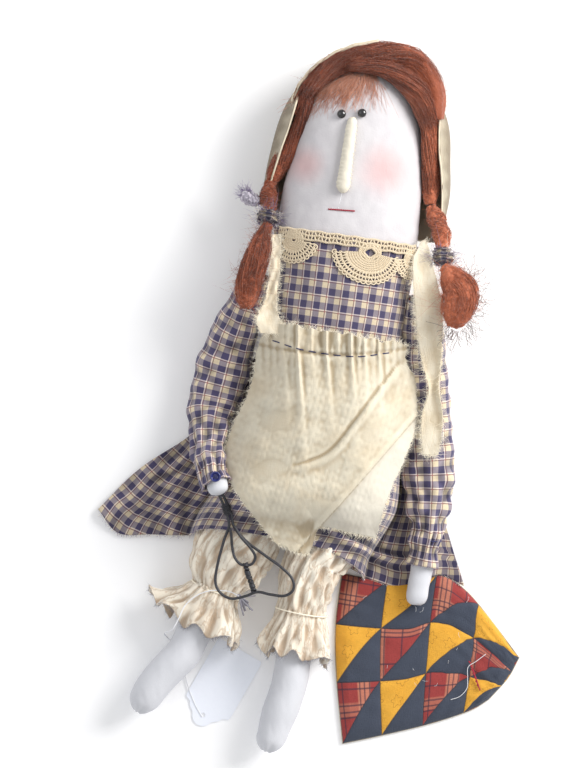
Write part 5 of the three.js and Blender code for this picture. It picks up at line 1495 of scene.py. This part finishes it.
def pigtail(side, tail_move, seed):
    """Side hair, twist and tail as locks, and between the last two a rag knot with frayed ends."""
    lock(f"{side}_side", SIDES[side], 420, seed, "torso", (f"{side}_side_hair",), 0.2, 0.5, fuzz=260, reach=5)
    lock(f"{side}_twist", TWISTS[side], 300, seed + 5, f"{side}_pigtail", (f"{side}_pigtail_twist",), 1.2,
         0.4, fuzz=300, reach=6)
    lock(f"{side}_tail", TAILS[side], 600, seed + 10, tail_move, (f"{side}_pigtail_tail",), 0.15, 0.7,
         fuzz=1100, reach=13)
    P, s, theta = limb(KNOTS[side], 50, 60)
    P = swell(P, folds(theta + s * 3, s * 5, seed + 15, (3, 5, 9), 1.5) * 1.2
              + 0.9 * np.sin(s * TAU * 2.5 + theta))
    knot = surface(f"{side}_rag_knot", P, NAVY_CHECK, around=True, ends=True)
    carry(knot, f"{side}_pigtail", (f"{side}_rag_tie",))
    middle = np.array(KNOTS[side][1][1:4])
    turn = np.linspace(0, TAU, 24)
    ring = middle + np.stack([9 * np.cos(turn), 6 * np.sin(turn), 2 + 0 * turn], -1)
    carry(fray(f"{side}_rag_threads", ring, unit(ring - middle), 160, 13, PURPLE_THREAD, seed + 16, 0.13,
               0.5), f"{side}_pigtail")
    carry(fray(f"{side}_rag_pale_threads", ring, unit(ring - middle), 90, 9, CREAM_THREAD, seed + 17, 0.12,
               0.6), f"{side}_pigtail")


pigtail("right", RIGHT_TAIL, 220)
pigtail("left", LEFT_TAIL, 260)


def tail_wisps():
    """Loose dark hairs round the left tail: each steps on along a direction that bends on its way."""
    r = np.random.default_rng(300)
    count, steps = 90, 26
    t = np.linspace(0, 1, steps)
    turn = r.uniform(-2.2, 1.5, (count, 1))
    middle = np.array([99, 49, 68.0])
    # These numbers are drawn and not used, so that the wisps after them keep their places.
    r.uniform(10, 27, (count, 1))
    lean = r.normal(0, 0.9, (count, 1)) * t
    often = r.uniform(5, 16, (count, 1))
    bend = turn + lean + 0.5 * np.sin(t * often + r.uniform(0, TAU, (count, 1)))
    x = middle[0] + 11 * np.cos(turn) + np.cumsum(np.cos(bend), 1) / steps * r.uniform(9, 24, (count, 1))
    y = middle[1] + 23 * np.sin(turn) + np.cumsum(np.sin(bend), 1) / steps * r.uniform(9, 24, (count, 1))
    curls = np.stack([x, y, middle[2] + r.normal(0, 3, (count, 1)) + r.normal(0, 3, (count, 1)) * t], -1)
    carry(tubes("left_tail_wisps", curls, 0.16, DARK_WISP, 3, r.uniform(0, 0.4, count)), LEFT_TAIL)


tail_wisps()


def hang(count, x0, x1, y0, y1, long, seed, lift=(0.5, 3.0)):
    """Hairs that hang from the top roll over the front of the head, each with its own sway."""
    r = np.random.default_rng(seed)
    t = np.linspace(0, 1, 12)
    share = r.uniform(0, 1, count)[:, None]
    lean = r.normal(0, 9, (count, 1)) + mix(long[1], long[2], share)
    x = mix(x0, x1, share) + lean * t + r.normal(0, 2.2, (count, 1)) * np.sin(t * r.uniform(2, 6, (count, 1)))
    y = mix(y0, y1, share) + r.normal(0, 1.5, (count, 1)) - long[0] * r.uniform(0.25, 1.05, (count, 1)) * t
    inside = np.abs((x - MIDDLE_X) / section(y)[0]) < 0.97
    z = np.where(inside, front(np.clip(x, -60, 56), y), 45) + r.uniform(*lift, (count, 1)) * (1 - t) + 0.4
    return np.stack([x, y, z], -1), r.uniform(0, 1, count)


paths, tones = hang(300, -20, 2, 227, 233, (34, -20, 6), 301)
carry(tubes("bangs", paths, 0.1, WISP, 3, tones), "torso")
paths, tones = hang(320, -50, -18, 205, 229, (24, -14, -4), 302)
carry(tubes("left_wisps", paths, 0.1, WISP, 3, tones), "torso")


def forehead_curl():
    """Nine hairs side by side that curl back at their ends."""
    t = np.linspace(0, 1, 30)
    curls = []
    for index in range(9):
        shift = index * 0.45
        x = -15 + shift - 7 * t + 2.6 * np.sin(5.4 * t) * t**3
        y = 226 - 26 * t + 2.2 * (1 - np.cos(5.4 * t)) * t**3 + shift * 0.3
        curls.append(np.stack([x, y, front(x, y) + 0.5 + 0.8 * (1 - t)], -1))
    carry(tubes("forehead_curl", np.stack(curls), 0.1, WISP, 3, np.linspace(0, 1, 9)), "torso")


forehead_curl()
CURTAINS = (
    ("right_curtain", [[0, -50, 206, 50, 8, 6], [.4, -54, 185, 47, 12, 10], [1, -66, 140, 42, 11, 10]],
     380, 310),
    ("left_curtain", [[0, 45, 216, 62, 14, 10], [.4, 54, 186, 52, 13, 11], [1, 61, 142, 44, 12, 11]],
     380, 320),
    ("crown_curtain", [[0, -22, 236, 56, 12, 16], [.3, 4, 238, 58, 15, 18], [.6, 27, 229, 60, 20, 18],
                       [.8, 43, 216, 60, 22, 18], [1, 54, 192, 54, 16, 14]], 700, 330))
for name, rows, count, seed in CURTAINS:
    paths, tones = strands(rows, count, seed, 0.3, start=(0, 0.1), end=(0.9, 1.0), wild=0.6)
    carry(tubes(name, paths, 0.26, WOOL, 3, tones), "torso")


# Quilt

QUILT = {"top": [[0, 0, 0], [.2, .19, -.01], [.38, .39, 0], [.52, .52, .07], [.68, .67, 0],
                 [.84, .84, -.17], [1, 1, -.35]],
         "bottom": [[0, .13, -1], [.25, .33, -.92], [.55, .58, -.81], [.8, .78, -.7], [1, .87, -.62]],
         "inner": [[0, 0, 0], [.35, .005, -.32], [.65, .05, -.63], [1, .13, -1]],
         "outer": [[0, 1, -.35], [.5, .955, -.48], [1, .87, -.62]]}
QUILT_CORNER, QUILT_SPAN = np.array([33.5, -192.5]), np.array([160, 144])


def quilt_plan(u, v):
    """A patch ruled between four edge curves: the sum of the two rulings less the bilinear one."""
    top, bottom = curve_at(QUILT["top"], u), curve_at(QUILT["bottom"], u)
    inner, outer = curve_at(QUILT["inner"], v), curve_at(QUILT["outer"], v)
    corner = [np.array(QUILT[edge][end][1:]) for edge in ("top", "bottom") for end in (0, -1)]
    U, V = u[..., None], v[..., None]
    flat = mix(mix(corner[0], corner[1], U), mix(corner[2], corner[3], U), V)
    plan = mix(top, bottom, V) + mix(inner, outer, U) - flat
    return QUILT_CORNER + plan * QUILT_SPAN


def quilt_patchwork():
    """The quilt's top: each patch a low pillow, a product of sines, with puckers towards the outer end."""
    v, u = np.meshgrid(np.linspace(0, 1, 156), np.linspace(0, 1, 196), indexing="ij")
    plan = quilt_plan(u, v)
    edge = np.minimum(1, 16 * np.minimum(np.minimum(u, 1 - u), np.minimum(v, 1 - v)))
    fu, fv = (4 * u) % 1, (3 * v) % 1
    patch = np.abs(np.sin(4 * math.pi * u) * np.sin(3 * math.pi * v)) ** 0.4
    diagonal = bump(fu + fv, 1, 0.05)
    pucker = step(0.45, 0.75, u) * (0.8 * ripple(u * 9, v * 7, 401, 0.5, 1.4) + 0.5 * np.sin(26 * u + 18 * v))
    z = 2.2 + np.sqrt(edge) * (1.2 + 4.2 * (0.45 + 0.55 * patch) - 0.5 * diagonal + 0.35 * pucker
                               + 0.25 * ripple(u * 8, v * 8, 402, 0.5, 1.5))
    P = np.concatenate([plan, np.maximum(z, 1.9)[..., None]], -1)
    top = surface("quilt_patchwork", P, PATCHWORK, uv=np.stack([4 * u, 3 * v], -1), thick=MUSLIN_THICK)
    carry(top, "quilt", ("quilt_top", "quilt_batting"))


quilt_patchwork()


def quilt_backing():
    """The backing: the same outline, a little larger, turned up at its rim."""
    v, u = np.meshgrid(np.linspace(0, 1, 60), np.linspace(0, 1, 60), indexing="ij")
    plan = quilt_plan(u, v)
    out = (plan - plan.mean((0, 1))) * 0.008
    rim_z = np.where(np.minimum(np.minimum(u, 1 - u), np.minimum(v, 1 - v)) < 0.02, 1.6, 0.95)
    P = np.concatenate([plan + out, rim_z[..., None]], -1)
    backing = surface("quilt_backing_cloth", P, TIE, thick=MUSLIN_THICK)
    carry(backing, "quilt", ("quilt_backing",))


quilt_backing()


def photo_line(points, z, steps=80):
    """A line through places as the camera sees them: distances to the right of the waist and above it,
    turned by TILT into the doll's own frame."""
    a = np.array([[x * math.cos(TILT) - y * math.sin(TILT), x * math.sin(TILT) + y * math.cos(TILT), h]
                  for (x, y), h in zip(points, z)])
    return route(a, steps)


def quilt_threads():
    """A loose thread, a darn of seven short stitches and lint on the quilt."""
    loose = photo_line([(129, -264), (121, -270), (114, -275), (113.5, -284), (113, -293), (107, -300),
                        (99, -303)], (9, 9.5, 9.5, 9, 9, 8.8, 8.2))
    carry(tubes("quilt_loose_thread", loose, 0.27, WHITE_THREAD, 6), "quilt")
    darn = []
    for shift in np.linspace(0, 1, 7):
        x, y = 116 + 7 * shift, -272 - 20 * shift
        darn.append(photo_line([(x - 1.6, y + 2), (x, y), (x + 1.2, y - 3)], (8.8, 9.2, 8.8), 10))
    carry(tubes("quilt_darn", np.stack(darn), 0.6, FLOSS, 5), "quilt")
    lint = []
    r = np.random.default_rng(410)
    for _ in range(16):
        x, y = r.uniform(20, 125), -r.uniform(205, 300)
        turn, long = r.uniform(0, TAU), r.uniform(2, 6)
        bend = r.uniform(-1.5, 1.5, 2)
        run_x, run_y = long * math.cos(turn), long * math.sin(turn)
        half_way = (x + run_x / 2 + bend[0], y + run_y / 2 + bend[1])
        lint.append(photo_line([(x, y), half_way, (x + run_x, y + run_y)], (8.4, 8.6, 8.4), 12))
    lint = np.stack(lint)
    x, y = lint[:, 0, 0], lint[:, 0, 1]
    inside = (x > 45) & (x < 150) & (y > -320 + (x - 45) * 0.35)
    carry(tubes("quilt_lint", lint[inside], 0.12, WHITE_THREAD, 3), "quilt")


quilt_threads()


# Hang tag and string

TAG_OUTLINE = np.array([[0, 0.02], [0.02, 0], [0.5, 0], [0.98, 0], [1, 0.02], [1, 0.4], [1, 0.745],
                    [0.985, 0.775], [0.93, 0.785], [0.87, 0.80], [0.83, 0.845], [0.77, 0.87], [0.71, 0.90],
                    [0.67, 0.95], [0.6, 0.985], [0.5, 1], [0.4, 0.985], [0.33, 0.95], [0.29, 0.90],
                    [0.23, 0.87], [0.17, 0.845], [0.13, 0.80], [0.07, 0.785], [0.015, 0.775], [0, 0.745],
                    [0, 0.4]])
TAG_X, TAG_Y, TAG_TURN, TAG_WIDE, TAG_LONG = -63.5, -261.5, -0.38, 43, 74
HOLE_X, HOLE_Y, HOLE_RADIUS, CARD_THICK = 0.5 * TAG_WIDE, -0.87 * TAG_LONG, 2, 0.5


def tag_place(flat):
    """Places on the flat tag to places on the doll: turned about the tag's corner and moved with it."""
    x, y = flat[..., 0], flat[..., 1]
    return np.stack([TAG_X + x * math.cos(TAG_TURN) - y * math.sin(TAG_TURN),
                     TAG_Y + x * math.sin(TAG_TURN) + y * math.cos(TAG_TURN)], -1)


def bare_tag():
    """The tag: rings between its hole and its outline, whose corners are eased, with the card's thickness."""
    closed_line = closed(TAG_OUTLINE) * [TAG_WIDE, -TAG_LONG]
    run = np.concatenate([[0], np.cumsum(np.linalg.norm(np.diff(closed_line, axis=0), axis=1))])
    at = np.linspace(0, run[-1], 221)[:-1]
    ring = np.stack([np.interp(at, run, closed_line[:, 0]), np.interp(at, run, closed_line[:, 1])], -1)
    ring = sum(np.roll(ring, k, 0) for k in (-1, 0, 1)) / 3
    go = np.arctan2(ring[:, 1] - HOLE_Y, ring[:, 0] - HOLE_X)
    hole = np.stack([HOLE_X + HOLE_RADIUS * np.cos(go), HOLE_Y + HOLE_RADIUS * np.sin(go)], -1)
    shares = np.linspace(0, 1, 6)[:, None, None]
    flat = mix(hole[None], ring[None], shares)
    P = np.concatenate([tag_place(flat), np.full(flat.shape[:2] + (1,), 0.55)], -1)
    tag = surface("bare_tag", P, CARD, around=True)
    tag.data.polygons.foreach_set("use_smooth", np.zeros(len(tag.data.polygons), bool))
    shell = tag.modifiers.new("thickness", "SOLIDIFY")
    shell.thickness, shell.offset = CARD_THICK / MM, 0
    mesh = tag.data
    normals = np.zeros(len(mesh.polygons) * 3)
    mesh.polygons.foreach_get("normal", normals)
    if normals[2::3].mean() < 0:
        mesh.flip_normals()
    carry(tag, "tag", ("hang_tag",))


bare_tag()


def string_with_tassel():
    """The string along its route, its knot and the tassel's nine bending ends."""
    path = route(STRING, 260)
    string = tubes("string", path, 0.45, WHITE_THREAD, 10)
    carry(string, "right_leg", ("tag_string",))
    knot_at = path[-1]
    r = np.random.default_rng(500)
    heading = unit(np.array([0.62, -0.55, -0.15]) + r.normal(0, 0.28, (9, 3)) * [1, 1, 0.4])
    t = np.linspace(0, 1, 10)[None, :, None]
    length = r.uniform(10, 15, (9, 1, 1))
    bend = r.normal(0, 0.16, (9, 1, 3))
    ends = knot_at + length * (heading[:, None] * t + bend * t**2) - [0, 0, 2] * t * 2.0
    tassel = carry(tubes("string_tassel", ends, 0.75, GREY_THREAD, 4), "right_leg")
    turn = np.linspace(0, TAU * 3, 90)
    knot_path = knot_at + np.stack([1.5 * np.cos(turn), 1.5 * np.sin(turn), np.linspace(-1.2, 1.2, 90)], -1)
    string_knot = carry(tubes("string_knot", knot_path, 0.5, GREY_THREAD, 6), "right_leg")


string_with_tassel()
